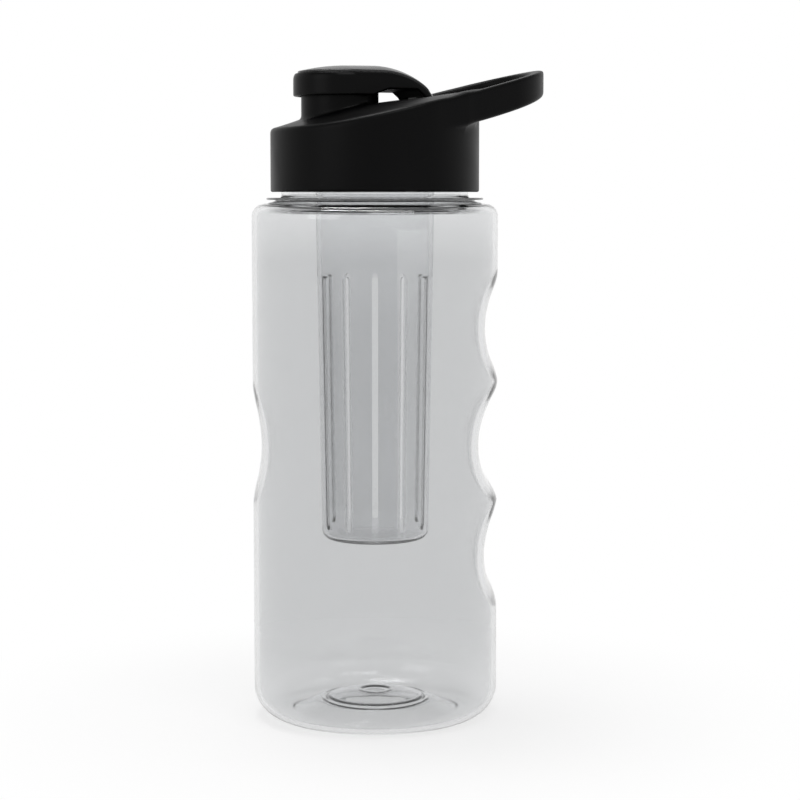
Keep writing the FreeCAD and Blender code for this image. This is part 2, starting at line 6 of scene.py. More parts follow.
import bmesh
import bpy
import numpy as np
from bpy.props import FloatProperty, FloatVectorProperty, IntProperty, PointerProperty
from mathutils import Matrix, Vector


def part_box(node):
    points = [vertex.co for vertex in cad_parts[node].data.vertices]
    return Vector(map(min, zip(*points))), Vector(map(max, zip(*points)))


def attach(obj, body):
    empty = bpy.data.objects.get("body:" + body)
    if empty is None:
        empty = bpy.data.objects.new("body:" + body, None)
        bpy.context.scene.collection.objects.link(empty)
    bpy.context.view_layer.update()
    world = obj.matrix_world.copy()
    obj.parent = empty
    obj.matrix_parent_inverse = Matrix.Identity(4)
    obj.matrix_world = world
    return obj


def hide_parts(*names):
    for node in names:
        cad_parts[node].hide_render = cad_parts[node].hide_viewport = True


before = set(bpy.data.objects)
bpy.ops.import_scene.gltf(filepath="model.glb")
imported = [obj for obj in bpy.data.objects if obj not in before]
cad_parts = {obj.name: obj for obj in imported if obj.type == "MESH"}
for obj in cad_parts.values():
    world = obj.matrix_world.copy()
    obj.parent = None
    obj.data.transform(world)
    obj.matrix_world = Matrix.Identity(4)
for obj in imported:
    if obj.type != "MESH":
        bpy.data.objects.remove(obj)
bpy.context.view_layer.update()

bl_info = {
    "name": "Infuser bottle",
    "version": (1, 0, 0),
    "blender": (4, 5, 0),
    "location": "View3D > Sidebar > Infuser bottle",
    "description": "Builds a clear infuser bottle with a screw lid, flip cap and slotted basket",
    "category": "Add Mesh",
}

# One millimetre in Blender's metres
MM = 0.001


def extent(node):
    """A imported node's lowest and highest corners, in millimetres."""
    low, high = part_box(node)
    return np.array(low) / MM, np.array(high) / MM


GASKET_LOW, GASKET_HIGH = extent("lid_gasket")
LID_LOW, LID_HIGH = extent("lid_body")
CAP_LOW, CAP_HIGH = extent("flip_cap")
PIN_LOW, PIN_HIGH = extent("hinge_pin")
SEAL_LOW, SEAL_HIGH = extent("spout_seal")
BASKET_LOW, BASKET_HIGH = extent("infuser_basket")
PIN_MIDDLE = (PIN_LOW + PIN_HIGH) / 2


def length(name, text, value):
    """A length property, its default given in millimetres."""
    return FloatProperty(name=name, description=text, default=float(value) * MM, unit="LENGTH", precision=5)


def angle(name, text, value):
    """An angle property, its default given in degrees."""
    return FloatProperty(name=name, description=text, default=math.radians(value), subtype="ANGLE")


def colour(name, text, value):
    """A colour property, in linear values."""
    return FloatVectorProperty(
        name=name, description=text, default=value, size=3, min=0, max=1, subtype="COLOR",
    )


def amount(name, text, value):
    """A plain number property that is never negative."""
    return FloatProperty(name=name, description=text, default=value, min=0)


def plain(settings):
    """A group's values for the shape code: lengths in millimetres, all else as it is."""
    values = {}
    for prop in settings.bl_rna.properties:
        if prop.identifier in ("rna_type", "name"):
            continue
        value = getattr(settings, prop.identifier)
        values[prop.identifier] = value / MM if getattr(prop, "unit", "") == "LENGTH" else value
    return SimpleNamespace(**values)


class BottleShape(bpy.types.PropertyGroup):
    """Sizes of the clear bottle."""
    body_radius: length("Body radius", "Outer radius of the body", 39.5)
    body_top: length("Body top", "Height at which the shoulder begins to turn in", 162.1)
    wall: length("Wall", "Thickness of the blown wall", 1.6)
    base_corner: length("Base corner", "Radius between the wall and the foot", 10)
    foot_width: length("Foot width", "Width of the ring that the bottle stands on", 2.6)
    punt_height: length("Punt height", "How far the bottom domes up", 6.6)
    boss_radius: length("Boss radius", "Radius of the moulding boss under the bottom", 4.3)
    rib_radius: length("Rib radius", "Radius of the low ring under the bottom", 16)
    shoulder_corner: length("Shoulder corner", "Radius between the wall and the shoulder", 4)
    shoulder_slope: angle("Shoulder slope", "Fall of the shoulder away from the neck", 8)
    neck_radius: length("Neck radius", "Outer radius of the neck below its thread", 30)
    neck_bore: length("Neck bore", "Inner radius of the neck", 27.8)
    ring_radius: length("Ring radius", "Outer radius of the ring under the lid", 34.8)
    ring_thick: length("Ring thickness", "Height of the ring under the lid", 0.7)
    neck_top: length("Neck top", "Height of the neck's lip", GASKET_LOW[2])
    thread_depth: length("Thread depth", "How far the thread stands out", 1)
    thread_pitch: length("Thread pitch", "Rise of the thread in one turn", 4.233)
    thread_rise: length("Thread rise", "Height of the thread's start below the lip", 11.05)
    thread_turns: amount("Thread turns", "Turns of thread on the neck", 1.25)
    grip_angle: angle("Grip angle", "Direction that the finger grips face", -20)
    finger_radius: length("Finger radius", "Radius of each finger grip's hollow", 23.5)
    upper_height: length("Upper grip height", "Height of the upper grip's middle", 126.8)
    upper_depth: length("Upper grip depth", "Depth of the upper grip", 4.5)
    middle_height: length("Middle grip height", "Height of the middle grip's middle", 89.8)
    middle_depth: length("Middle grip depth", "Depth of the middle grip", 6.8)
    lower_height: length("Lower grip height", "Height of the lower grip's middle", 54)
    lower_depth: length("Lower grip depth", "Depth of the lower grip", 4.6)
    thumb_radius: length("Thumb radius", "Radius of the thumb grip's hollow", 33)
    thumb_height: length("Thumb grip height", "Height of the thumb grip's middle", 89.2)
    thumb_depth: length("Thumb grip depth", "Depth of the thumb grip", 3)
    grip_edge: length("Grip edge", "Width over which a grip's edge is rounded", 3.5)
    row_fine: length("Fine rows", "Height of the rows of faces at the grips' edges", 0.5)
    row_coarse: length("Coarse rows", "Height of the rows of faces elsewhere", 1.8)
    segments: IntProperty(name="Segments", description="Faces round the bottle", default=180, min=32)


class LidShape(bpy.types.PropertyGroup):
    """Sizes of the screw lid and its carry loop."""
    radius: length("Lid radius", "Outer radius of the skirt", 33.4)
    low: length("Lid low", "Height of the skirt's lower edge", LID_LOW[2])
    seat: length("Lid seat", "Height of the face that meets the gasket", GASKET_HIGH[2])
    bore: length("Skirt bore", "Inner radius of the skirt", 31.4)
    rim_rise: length("Rim rise", "Height of the rim's edge above the seat, level with the axis", 8.9)
    rim_slope: angle("Rim slope", "Rise of the rim's edge towards the loop", 12.8)
    rim_front: length("Rim front", "Least height of the rim's edge above the seat", 2.5)
    cone: angle("Cone", "Rise of the deck from the rim's edge inwards", 11.4)
    crest_rise: length("Crest rise", "Height of the deck's crest above the seat, at the axis", 11.3)
    crest_slope: angle("Crest slope", "Rise of the crest towards the loop", 7.3)
    crest_round: length("Crest rounding", "Width over which the crest is rounded", 2.5)
    deck_wall: length("Deck wall", "Thickness of the deck", 3.2)
    dish_rise: length("Dish rise", "Height of the hinge's recess above the seat, at the axis", 8.37)
    dish_slope: angle("Dish slope", "Rise of the recess towards the loop", 6.8)
    dish_offset: length("Dish offset", "Distance of the recess ahead of the axis", 9)
    dish_radius: length("Dish radius", "Radius of the recess", 19)
    hinge_room: length("Hinge room", "Depth of the pocket in the recess under the cap's tail", 1.3)
    cavity_radius: length("Cavity radius", "Radius of the room under the deck", 24)
    loop_reach: length("Loop reach", "Distance from the axis to the loop's tip", LID_HIGH[0])
    loop_nose: length("Loop nose", "Radius of the loop's outer end", 24)
    loop_width: length("Loop width", "Width of the loop's band", 4.5)
    loop_slope: angle("Loop slope", "Rise of the loop's top", 14.5)
    loop_rise: length("Loop rise", "Height of the loop's top line above the seat, at the axis", 7.9)
    loop_start: length("Loop start", "Distance ahead of the axis at which the band begins", 2)
    loop_foot: length("Loop foot", "Height of the band's root above the seat", 0.3)
    loop_tip: length("Loop tip", "Height of the band at its tip", 8.2)
    loop_sag: length("Loop sag", "Depth of the hollow along the band's underside", 1.6)
    spout_offset: length("Spout offset", "Distance of the spout behind the axis", 11.8)
    spout_radius: length("Spout radius", "Outer radius of the spout", 12.3)
    spout_bore: length("Spout bore", "Inner radius of the spout", 9)
    spout_over: length("Spout over", "Height of the spout's lip above the hinge", 2.2)
    lug_radius: length("Lug radius", "Radius of the hinge lug", 2.1)
    lug_width: length("Lug width", "Width of the hinge lug", 9)
    socket_radius: length("Socket radius", "Inner radius of the basket's socket", 19)
    socket_wall: length("Socket wall", "Thickness of the basket's socket", 1.8)
    socket_low: length("Socket low", "Height of the socket's lower edge", BASKET_HIGH[2] - 7)
    edge: length("Edge rounding", "Width over which outer edges are rounded", 1.4)
    blend: length("Loop blend", "Width over which the loop flows into the lid", 3)
    thread_turns: amount("Thread turns", "Turns of thread in the skirt", 1)
    step: length("Mesh step", "Size of the lid's faces", 0.58)


class CapShape(bpy.types.PropertyGroup):
    """Sizes of the flip cap, its panel, the spout seal, the gasket and the hinge pin."""
    hinge_x: length("Hinge offset", "Distance of the hinge ahead of the axis", PIN_MIDDLE[0])
    hinge_z: length("Hinge height", "Height of the hinge", PIN_MIDDLE[2])
    height: length("Cap height", "Height of the cap above the hinge", 8)
    radius: length("Cap radius", "Radius of the cap's front", 14.8)
    back: length("Back radius", "Radius of the cap's curved back", 28)
    half_width: length("Hinge half width", "Half the cap's width at the hinge", 11)
    cheek: length("Cheek radius", "Radius of the cap's cheeks about the hinge", 2.3)
    side_start: length("Side start", "Distance behind the axis where the sides' edge begins to rise", 5.5)
    side_rise: length("Side rise", "Rise of the sides' lower edge towards the cheeks", 2)
    wall: length("Cap wall", "Thickness of the cap's sides", 1.6)
    roof: length("Cap roof", "Thickness of the cap's roof", 2.1)
    notch: length("Notch width", "Room for the lug between the cheeks", 9.6)
    notch_start: length("Notch start", "Distance ahead of the axis at which the notch begins", 12.5)
    tail: length("Tail", "How far the cap's tail reaches past the cheeks", 0.6)
    panel_inset: length("Panel inset", "Distance of the panel from the cap's edge", 0.9)
    panel_depth: length("Panel depth", "Depth of the panel's seat", 0.9)
    panel_crown: length("Panel crown", "Height of the panel's crown over its edge", 1.95)
    panel_sink: length("Panel sink", "How far the panel's edge lies below the cap's top", 0.1)
    panel_round: length("Panel round", "Width over which the panel rises from its edge to its crown", 11)
    panel_fall: amount("Panel fall", "Share of the crown lost at the front", 0.45)
    panel_high: length("Panel high", "Distance ahead of the axis at which the crown is full", 3)
    panel_edge: length("Panel edge", "Width over which the panel's edge is rounded", 0.3)
    seam: length("Seam width", "Width of the seam round the panel", 0.55)
    edge: length("Edge rounding", "Width over which the cap's upper edge is rounded", 3)
    step: length("Mesh step", "Size of the cap's faces", 0.31)


class BasketShape(bpy.types.PropertyGroup):
    """Sizes of the infuser basket."""
    low: length("Basket low", "Height of the basket's bottom", BASKET_LOW[2])
    top: length("Basket top", "Height of the push fit's upper edge", BASKET_HIGH[2])
    plug: length("Plug length", "Length of the push fit above the flange", 7)
    plug_radius: length("Plug radius", "Outer radius of the push fit", 18.9)
    flange: length("Flange", "Thickness of the flange", 1.5)
    flange_radius: length("Flange radius", "Outer radius of the flange", 20.8)
    mouth: length("Mouth radius", "Outer radius under the flange", 19.2)
    foot: length("Foot radius", "Outer radius at the bottom", 17.3)
    wall: length("Wall", "Thickness of the wall", 1.3)
    corner: length("Corner", "Radius between wall and bottom", 3)
    slot_width: length("Slot width", "Width of each slot", 2.2)
    slot_low: length("Slot low", "Height of the slots' lower ends", 61.7)
    slot_high: length("Slot high", "Height of the slots' upper ends", 143.3)
    slots: IntProperty(name="Slots", description="Number of slots round the basket", default=12, min=3)
    turn: angle("Basket angle", "Direction of the first slot", -20)


class Finishes(bpy.types.PropertyGroup):
    """Colours of the materials."""
    clear: colour("Clear plastic", "Tint of the bottle's wall", (0.735, 0.74, 0.745))
    # Painted light: the paler tint at the bottle's bottom and top
    clear_thin: colour("Clear plastic, thin", "Tint where the wall is drawn thin", (0.84, 0.845, 0.85))
    # Painted shade: the dark tint of the ring under the lid
    solid: colour("Clear plastic, solid", "Tint of the solid ring under the lid", (0.15, 0.152, 0.155))
    frost: colour("Frosted plastic", "Tint of the basket", (0.85, 0.855, 0.86))
    # The basket's tint turns paler towards the top, above the slots
    frost_upper: colour("Frosted plastic, thin", "Tint of the basket above its slots", (0.93, 0.935, 0.94))
    lid: colour("Lid", "Colour of the lid", (0.001, 0.001, 0.0011))
    cap: colour("Cap", "Colour of the flip cap", (0.001, 0.001, 0.0011))
    panel: colour("Panel", "Colour of the cap's panel", (0.018, 0.018, 0.0185))
    silicone: colour("Silicone", "Colour of the gasket and the seal", (0.62, 0.63, 0.63))
    steel: colour("Steel", "Colour of the hinge pin", (0.6, 0.6, 0.6))
    floor: colour("Floor", "Colour of the floor", (0.9, 0.9, 0.9))


class StageView(bpy.types.PropertyGroup):
    """The camera's place and the level of the lamps."""
    azimuth: angle("Azimuth", "Direction of the camera round the bottle", -20)
    distance: length("Distance", "Level distance from the bottle's axis to the camera", 700)
    height: length("Height", "Height of the camera", LID_LOW[2])
    pitch: angle("Pitch", "How far the camera looks down", 5.47)
    yaw: angle("Yaw", "How far the camera looks to the right of the axis", 0.66)
    lens: FloatProperty(
        name="Lens", description="Focal length on the camera's sensor", default=97.74, unit="CAMERA",
    )
    fill: amount("Fill", "Strength of the even light", 0.6)
    overhead: amount("Overhead", "Share of the fill from overhead", 0.45)


GROUPS = {
    "infuser_bottle": BottleShape,
    "infuser_lid": LidShape,
    "infuser_cap": CapShape,
    "infuser_basket": BasketShape,
    "infuser_finishes": Finishes,
    "infuser_stage": StageView,
}


# Nets: margin in steps, rounds of drawing them onto the surface, probe, longest pull, least slope
NET_MARGIN = 2
NET_ROUNDS = 6
NET_PROBE = 0.05
NET_PULL = 0.3
LEAST_SLOPE = 0.1

# Faces along a rounded corner of a turned profile, and round the turned pieces
CORNER_STEPS = 4
GASKET_SEGMENTS = 128
SEAL_SEGMENTS = 96
PIN_SEGMENTS = 32
FLOOR_SEGMENTS = 96

# How far past its end a share along the loop or the panel still counts
PAST_END = 1.2

# Relief under the bottle's bottom, in millimetres
BOSS_HEIGHT = 0.5
BOSS_EDGE = 0.16
RIB_HEIGHT = 0.4
RIB_WIDTH = 0.8

# The bottom's rows: shares of the boss's radius, distances from the rib, and radii between them
BOSS_ROWS = (0.4, 0.75, 0.9, 1, 1.1, 1.25)
RIB_ROWS = (-1.4, -1, -0.6, -0.3, 0, 0.3, 0.6, 1, 1.4)
INNER_ROWS = (6.5, 8.5, 10.5, 12.5, 14)
OUTER_ROWS = (18.5, 20, 21.5, 23, 24.5, 25.6, 26.3)

# The wall's rows: reach of the fine ones from a grip's edge, and how fast they grow beyond it
FINE_REACH = 3
ROW_GROWTH = 0.3

# The neck, in millimetres: ring over shoulder, roundings, rows, groove under the ring, and bore
RING_GAP = 1.25
RING_EDGE = 0.3
NECK_FILLET = 0.8
LIP_EDGE = 0.6
NECK_ROW = 0.36
GROOVE_ROWS = ((33.2, -0.6), (32.2, -0.4), (32.0, -0.2), (32.2, 0))
BORE_ROWS = (180, 175, 170)

# The neck's thread: half its width at the root, width of a flank, and taper of its ends in radians
THREAD_HALF = 1.2
THREAD_FLANK = 0.7
THREAD_TAPER = 0.3

# The thread in the skirt, in millimetres
LID_THREAD = SimpleNamespace(root=2.4, crest=1.0, depth=1.3, sink=0.35, drop=1.62)

# Widths over which the lid's lesser edges are rounded, in millimetres
LID_EDGES = SimpleNamespace(
    rim_front=2.5, skirt=0.7, dish=1.2, pocket=1, pocket_rim=0.5, inside=0.5, socket=0.4,
    socket_root=0.6, spout_lip=0.9, spout_foot=0.2, spout_root=1.2, spout_bore=0.6, lug=0.7,
    lug_root=0.9, loop_start=1.2, loop_join=0.1,
)

# Room on each side of the cap's tail in its pocket, and the spout's bore past the deck, in millimetres
POCKET_ROOM = 0.6
BORE_PAST = 0.6

# Distance from the lid over which the loop's blend comes in, in millimetres
LOOP_CLEAR = 2

# Widths over which the cap's and the panel's lesser edges are rounded, in millimetres
CAP_EDGES = SimpleNamespace(
    tail=4, cheek=0.8, lower=0.6, hollow=0.8, hollow_rim=0.4, notch=0.4, seat=0.35, pin=0.2,
    panel_under=0.2, panel_notch=0.3,
)

# The pin's hole in the cheeks, the plastic left at its ends and the panel's gap, in millimetres
PIN_HOLE = 1.05
PIN_COVER = 0.7
PANEL_GAP = 0.02

# The basket's rows: radii of the bottom's, and how many lie along a slot and above it
BOTTOM_ROWS = (0.6, 5, 10)
SLOT_ROWS = 30
UPPER_ROWS = 9

# The basket's columns: across a slot as shares of its half width, and beside it from such a share on
SLOT_COLUMNS = (1, 0.866, 0.5, 0, -0.5, -0.866, -1)
SIDE_COLUMNS = 5
SIDE_START = 1.35

# The basket's lesser roundings, in millimetres
FLANGE_EDGE = 0.35
FLANGE_FILLET = 0.15
PLUG_EDGE = 0.4
MOUTH_EDGE = 0.3

# The gasket, the seal with the hollow in its underside, and the pin, in millimetres
GASKET_BORE = 27.2
GASKET_EDGE = 0.5
SEAL_ROOM = 0.6
SEAL_PAD = 2.5
SEAL_EDGE = 0.4
SEAL_DOME = 1.4
SEAL_HOLLOW = ((2.4, 1.3), (1.6, 0.3), (1.2, 0))
PIN_EDGE = 0.3

# Moulded finishes by slot: tint, range of roughness, the grain's scale and depth, and specular level
MOULDED = {
    "black_lid": ("lid", (0.34, 0.42), (1600, 0.008), 0.07),
    "black_cap": ("cap", (0.3, 0.38), (1800, 0.007), 0.08),
    "black_panel": ("panel", (0.25, 0.33), (2000, 0.006), 0.35),
    "silicone": ("silicone", (0.5, 0.65), (1200, 0.02), 0.4),
}

# Factors on a tint where handling marks darken and lighten it, and where the frost is cloudy
MARKS_DARK = 0.85
MARKS_LIGHT = 1.2
CLOUD_DARK = 0.97

# Refractive indices, and how far below and above the slots' ends the basket's tint changes
CLEAR_IOR = 1.5
FROST_IOR = 1.25
FROST_REACH = 15

# The wall's full tint lies between these shares of its height, with painted light paler below and above
# them, and the ring's painted shade lies between these shares of its own
WALL_STOPS = (0.14, 0.8)
RING_STOPS = ((0, "clear_thin"), (0.3, "solid"), (0.6, "solid"), (0.9, "clear_thin"))

# Lamps: name, place, target, width and height in metres, and power in watts
LAMPS = (
    ("top_softbox", (-0.05, 0.14, 0.85), (0, 0, 0.2), (0.32, 0.32), 3.0),
    ("upper_softbox", (0.0, -0.4, 0.7), (0, 0, 0.2), (0.4, 0.2), 1.4),
    ("front_card", (0.08, -0.34, 0.083), (0, 0, 0.083), (0.17, 0.14), 0.05),
    ("left_softbox", (-0.75, -0.3, 0.45), (0, 0, 0.12), (0.5, 0.6), 1.2),
)

# The floor's rows and height in millimetres, and the camera's sensor
FLOOR_ROWS = (0, 60, 150, 400, 2500)
FLOOR_HEIGHT = -0.05
SENSOR_WIDTH = 36


# Fields: negative inside a solid, positive outside it

def soft_max(a, b, width):
    """The larger of two fields, with the crease between them rounded over a width."""
    near = np.maximum(width - np.abs(a - b), 0) / width
    return np.maximum(a, b) + near * near * width / 4


def soft_min(a, b, width):
    """The smaller of two fields, with the crease between them filled over a width."""
    return -soft_max(-a, -b, width)


def carve(solid, tool, width):
    """A solid less a tool, with the edge rounded over a width."""
    return soft_max(solid, -tool, width)


def surface_net(field, low, high, step):
    """Mesh a field's zero surface: one vertex in every cell that it crosses, then drawn onto the surface."""
    margin = NET_MARGIN * step
    axes = [np.arange(a - margin, b + margin + step, step) for a, b in zip(low, high)]
    start = np.array([axis[0] for axis in axes])
    value = field(np.stack(np.meshgrid(*axes, indexing="ij"), axis=-1))
    inside = value < 0
    cells = np.array(value.shape) - 1
    corners = [np.array(c) for c in itertools.product((0, 1), repeat=3)]
    count = np.zeros(cells, int)
    for c in corners:
        count += inside[c[0]:c[0] + cells[0], c[1]:c[1] + cells[1], c[2]:c[2] + cells[2]]
    mixed = (count > 0) & (count < len(corners))
    where = np.argwhere(mixed)
    label = np.full(cells, -1)
    label[mixed] = np.arange(len(where))
    total = np.zeros((len(where), 3))
    hits = np.zeros((len(where), 1))
    for a, b in itertools.combinations(corners, 2):
        if np.abs(a - b).sum() != 1:
            continue
        first = value[tuple((where + a).T)]
        second = value[tuple((where + b).T)]
        cross = ((first < 0) != (second < 0))[:, None]
        share = (first / np.where(first == second, 1, first - second))[:, None]
        total += np.where(cross, a + share * (b - a), 0)
        hits += cross
    points = start + (where + total / hits) * step
    for _ in range(NET_ROUNDS):
        slope = np.zeros_like(points)
        for axis in range(3):
            nudge = np.zeros(3)
            nudge[axis] = NET_PROBE * step
            slope[:, axis] = (field(points + nudge) - field(points - nudge)) / (2 * NET_PROBE * step)
        size = np.maximum((slope ** 2).sum(axis=1, keepdims=True), LEAST_SLOPE)
        points -= np.clip(slope * field(points)[:, None] / size, -NET_PULL * step, NET_PULL * step)
    faces = []
    for axis in range(3):
        second, third = (axis + 1) % 3, (axis + 2) % 3
        lower = inside[tuple(slice(0, -1) if i == axis else slice(None) for i in range(3))]
        upper = inside[tuple(slice(1, None) if i == axis else slice(None) for i in range(3))]
        at = np.argwhere(lower != upper)
        quad = []
        for down, back in ((1, 1), (0, 1), (0, 0), (1, 0)):
            cell = at.copy()
            cell[:, second] -= down
            cell[:, third] -= back
            quad.append(label[tuple(cell.T)])
        quad = np.stack(quad, axis=1)
        turned = ~lower[tuple(at.T)]
        quad[turned] = quad[turned][:, ::-1]
        faces.append(quad)
    return points, np.concatenate(faces)


# Meshes

def new_object(name, points, faces, material, sharp=None):
    """A smooth-shaded mesh object at the origin, from points in millimetres."""
    mesh = bpy.data.meshes.new(name)
    mesh.from_pydata((np.asarray(points) * MM).tolist(), [], [list(map(int, face)) for face in faces])
    mesh.materials.append(material)
    mesh.shade_smooth()
    if sharp is not None:
        mesh.set_sharp_from_angle(angle=math.radians(sharp))
    item = bpy.data.objects.new(name, mesh)
    bpy.context.scene.collection.objects.link(item)
    return item


def settle(item, body, slot, *nodes):
    """Let a finished piece ride on its body and stand for its nodes by hiding them. The slot is not used."""
    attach(item, body)
    for node in nodes:
        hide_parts(node)


def arc(x, y, radius, start, end, steps):
    """Points along an arc, its angles in degrees."""
    turn = np.radians(np.linspace(start, end, steps + 1))
    return [(x + radius * math.cos(t), y + radius * math.sin(t)) for t in turn]


def round_side(radius, low, high, edge, steps=CORNER_STEPS):
    """Rows up an outer side whose two corners are rounded."""
    lower = arc(radius - edge, low + edge, edge, -90, 0, steps)
    return lower + arc(radius - edge, high - edge, edge, 0, 90, steps)


def round_bore(radius, low, high, edge):
    """Rows down an inner side whose two corners are rounded."""
    upper = arc(radius + edge, high - edge, edge, 90, 180, CORNER_STEPS)
    return upper + arc(radius + edge, low + edge, edge, 180, 270, CORNER_STEPS)


def lathe(rows, segments, shape=None):
    """Turn a profile of (radius, height) rows about the axis. Rows of radius 0 close as poles."""
    turn = np.linspace(0, 2 * math.pi, segments, endpoint=False)
    points = []
    first = []
    for number, (radius, height) in enumerate(rows):
        first.append(len(points))
        if radius == 0:
            points.append((0, 0, height))
            continue
        reach = np.full(segments, radius) if shape is None else shape(number, radius, height, turn)
        points.extend(zip(reach * np.cos(turn), reach * np.sin(turn), np.full(segments, height)))
    faces = []
    ways = [(j, (j + 1) % segments) for j in range(segments)]
    for low, high, here, there in zip(first, first[1:], rows, rows[1:]):
        for j, after in ways:
            if here[0] == 0:
                faces.append((low, high + after, high + j))
            elif there[0] == 0:
                faces.append((low + j, low + after, high))
            else:
                faces.append((low + j, low + after, high + after, high + j))
    return points, faces


def turned_ring(name, rows, segments, material):
    """A ring turned from a closed profile that doesn't reach the axis."""
    points, faces = lathe(rows + rows[:1], segments)
    keep = len(points) - segments
    faces = [tuple(i - keep if i >= keep else i for i in face) for face in faces]
    return new_object(name, points[:keep], faces, material, sharp=50)


# Bottle

def bottom_height(s, bore, radius):
    """Height of the domed bottom's underside, with its boss and low ring."""
    dome = (bore ** 2 + s.punt_height ** 2) / (2 * s.punt_height)
    height = s.punt_height - dome + math.sqrt(dome ** 2 - radius ** 2)
    boss = BOSS_HEIGHT / (1 + math.exp((radius - s.boss_radius) / BOSS_EDGE))
    rib = RIB_HEIGHT * math.exp(-((radius - s.rib_radius) / RIB_WIDTH) ** 2)
    return height - boss - rib


def grip_hollows(s):
    """Each grip's facing, radius, height and depth."""
    fingers = [
        (s.upper_height, s.upper_depth),
        (s.middle_height, s.middle_depth),
        (s.lower_height, s.lower_depth),
    ]
    hollows = [(s.grip_angle, s.finger_radius, height, depth) for height, depth in fingers]
    return hollows + [(s.grip_angle + math.pi, s.thumb_radius, s.thumb_height, s.thumb_depth)]


def wall_heights(s):
    """Heights of the walls' rows, close together where a grip's edge is rounded."""
    edges = []
    for _, size, middle, depth in grip_hollows(s):
        half = math.sqrt(size ** 2 - (size - depth) ** 2)
        edges += [middle - half, middle + half]
    heights = [s.base_corner]
    while heights[-1] < s.body_top - s.row_fine:
        near = min(abs(heights[-1] - edge) for edge in edges)
        heights.append(heights[-1] + min(max(s.row_fine, ROW_GROWTH * (near - FINE_REACH)), s.row_coarse))
    return np.array(heights[:-1] + [s.body_top])


def ring_base(s):
    """Height of the underside of the ring under the lid."""
    return s.body_top + s.shoulder_corner + RING_GAP


def bottle_rows(s):
    """The bottle's profile from the bottom's middle, up the outside, over the lip and down the inside."""
    foot = s.body_radius - s.base_corner
    bore = foot - s.foot_width
    radii = [0, *(s.boss_radius * v for v in BOSS_ROWS), *INNER_ROWS]
    radii += [*(s.rib_radius + v for v in RIB_ROWS), *OUTER_ROWS]
    under = [(r, bottom_height(s, bore, r)) for r in radii]
    turn = s.body_radius - s.shoulder_corner
    over = 90 - math.degrees(s.shoulder_slope)
    ring_low = ring_base(s)
    ring_high = ring_low + s.ring_thick
    tall = wall_heights(s)
    neck = np.arange(ring_high + NECK_FILLET + 0.1, s.neck_top - LIP_EDGE - 0.1, NECK_ROW)
    outside = under + [(bore - 0.05, 0.12), (bore + 0.35, 0), (foot - 0.8, 0)]
    outside += arc(foot, s.base_corner, s.base_corner, -90, 0, 14)[:-1]
    walls = [(s.body_radius, z) for z in tall]
    shoulder = arc(turn, s.body_top, s.shoulder_corner, 0, over, 10)[1:]
    ring = [(radius, ring_low + rise) for radius, rise in GROOVE_ROWS]
    ring += round_side(s.ring_radius, ring_low, ring_high, RING_EDGE)
    ring += arc(s.neck_radius + NECK_FILLET, ring_high + NECK_FILLET, NECK_FILLET, 270, 190, CORNER_STEPS)
    rise = [(s.neck_radius, z) for z in neck]
    lip = arc(s.neck_radius - LIP_EDGE, s.neck_top - LIP_EDGE, LIP_EDGE, 0, 90, CORNER_STEPS)
    lip += arc(s.neck_bore + LIP_EDGE, s.neck_top - LIP_EDGE, LIP_EDGE, 90, 180, CORNER_STEPS)
    inner_turn = s.shoulder_corner - s.wall
    inside = [(s.neck_bore, z) for z in (*BORE_ROWS, ring_low + 0.3, ring_low - 0.6)]
    inside += [(s.neck_bore + 0.5, ring_low - RING_GAP), (s.neck_bore + 1.6, ring_low - 1.6)]
    inside += arc(turn, s.body_top, inner_turn, over, 0, 6)[:-1]
    inner_walls = [(s.body_radius - s.wall, z) for z in tall[::-1]]
    floor = arc(foot, s.base_corner, s.base_corner - s.wall, 0, -90, 10)[1:]
    floor += [(bore + 0.5, s.wall), (bore - 0.3, s.wall + 0.12)]
    floor += [(r, bottom_height(s, bore, r) + s.wall) for r in radii[::-1]]
    parts = [outside, walls, shoulder + ring, rise, lip + inside, inner_walls, floor]
    kinds = ["", "outer", "", "thread", "", "inner", ""]
    rows = [row for part in parts for row in part]
    return rows, [kind for part, kind in zip(parts, kinds) for _ in part]


def bottle_reach(s, kinds):
    """The rule that presses the grips into the walls and raises the thread on the neck."""
    hollows = grip_hollows(s)
    least_ahead = 0.3
    far = 1000

    def pressed(radius, height, turn, wall):
        reach = np.full_like(turn, radius)
        for facing, size, middle, depth in hollows:
            room = (size + wall) ** 2 - (height - middle) ** 2
            ahead = np.cos(turn - facing)
            if room <= 0:
                continue
            face = s.body_radius - depth + size - math.sqrt(room)
            limit = np.where(ahead > least_ahead, face / np.maximum(ahead, least_ahead), far)
            reach = soft_min(reach, limit, s.grip_edge)
        return reach

    def threaded(radius, height, turn):
        reach = np.full_like(turn, radius)
        begin = s.neck_top - s.thread_rise
        whole = 2 * math.pi
        for lap in range(2):
            along = turn + whole * lap
            end = whole * s.thread_turns
            taper = np.clip(np.minimum(along, end - along) / THREAD_TAPER, 0, 1)
            off = np.abs(height - begin - s.thread_pitch * along / whole)
            flank = np.clip((THREAD_HALF - off) / THREAD_FLANK, 0, 1)
            reach = np.maximum(reach, radius + s.thread_depth * taper * flank)
        return reach

    def rule(number, radius, height, turn):
        kind = kinds[number]
        if kind == "outer":
            return pressed(radius, height, turn, 0)
        if kind == "inner":
            return pressed(radius, height, turn, s.wall)
        if kind == "thread":
            return threaded(radius, height, turn)
        return np.full_like(turn, radius)

    return rule


# Lid

def egg(x, y, big, small, along):
    """Distance from the outline round a big circle at the axis and a small one ahead of it."""
    across = np.abs(y)
    lean = (big - small) / along
    side = math.sqrt(1 - lean ** 2)
    place = -lean * across + side * x
    straight = side * across + lean * x - big
    nose = np.hypot(x - along, across) - small
    return np.where(place < 0, np.hypot(x, across) - big, np.where(place > side * along, nose, straight))


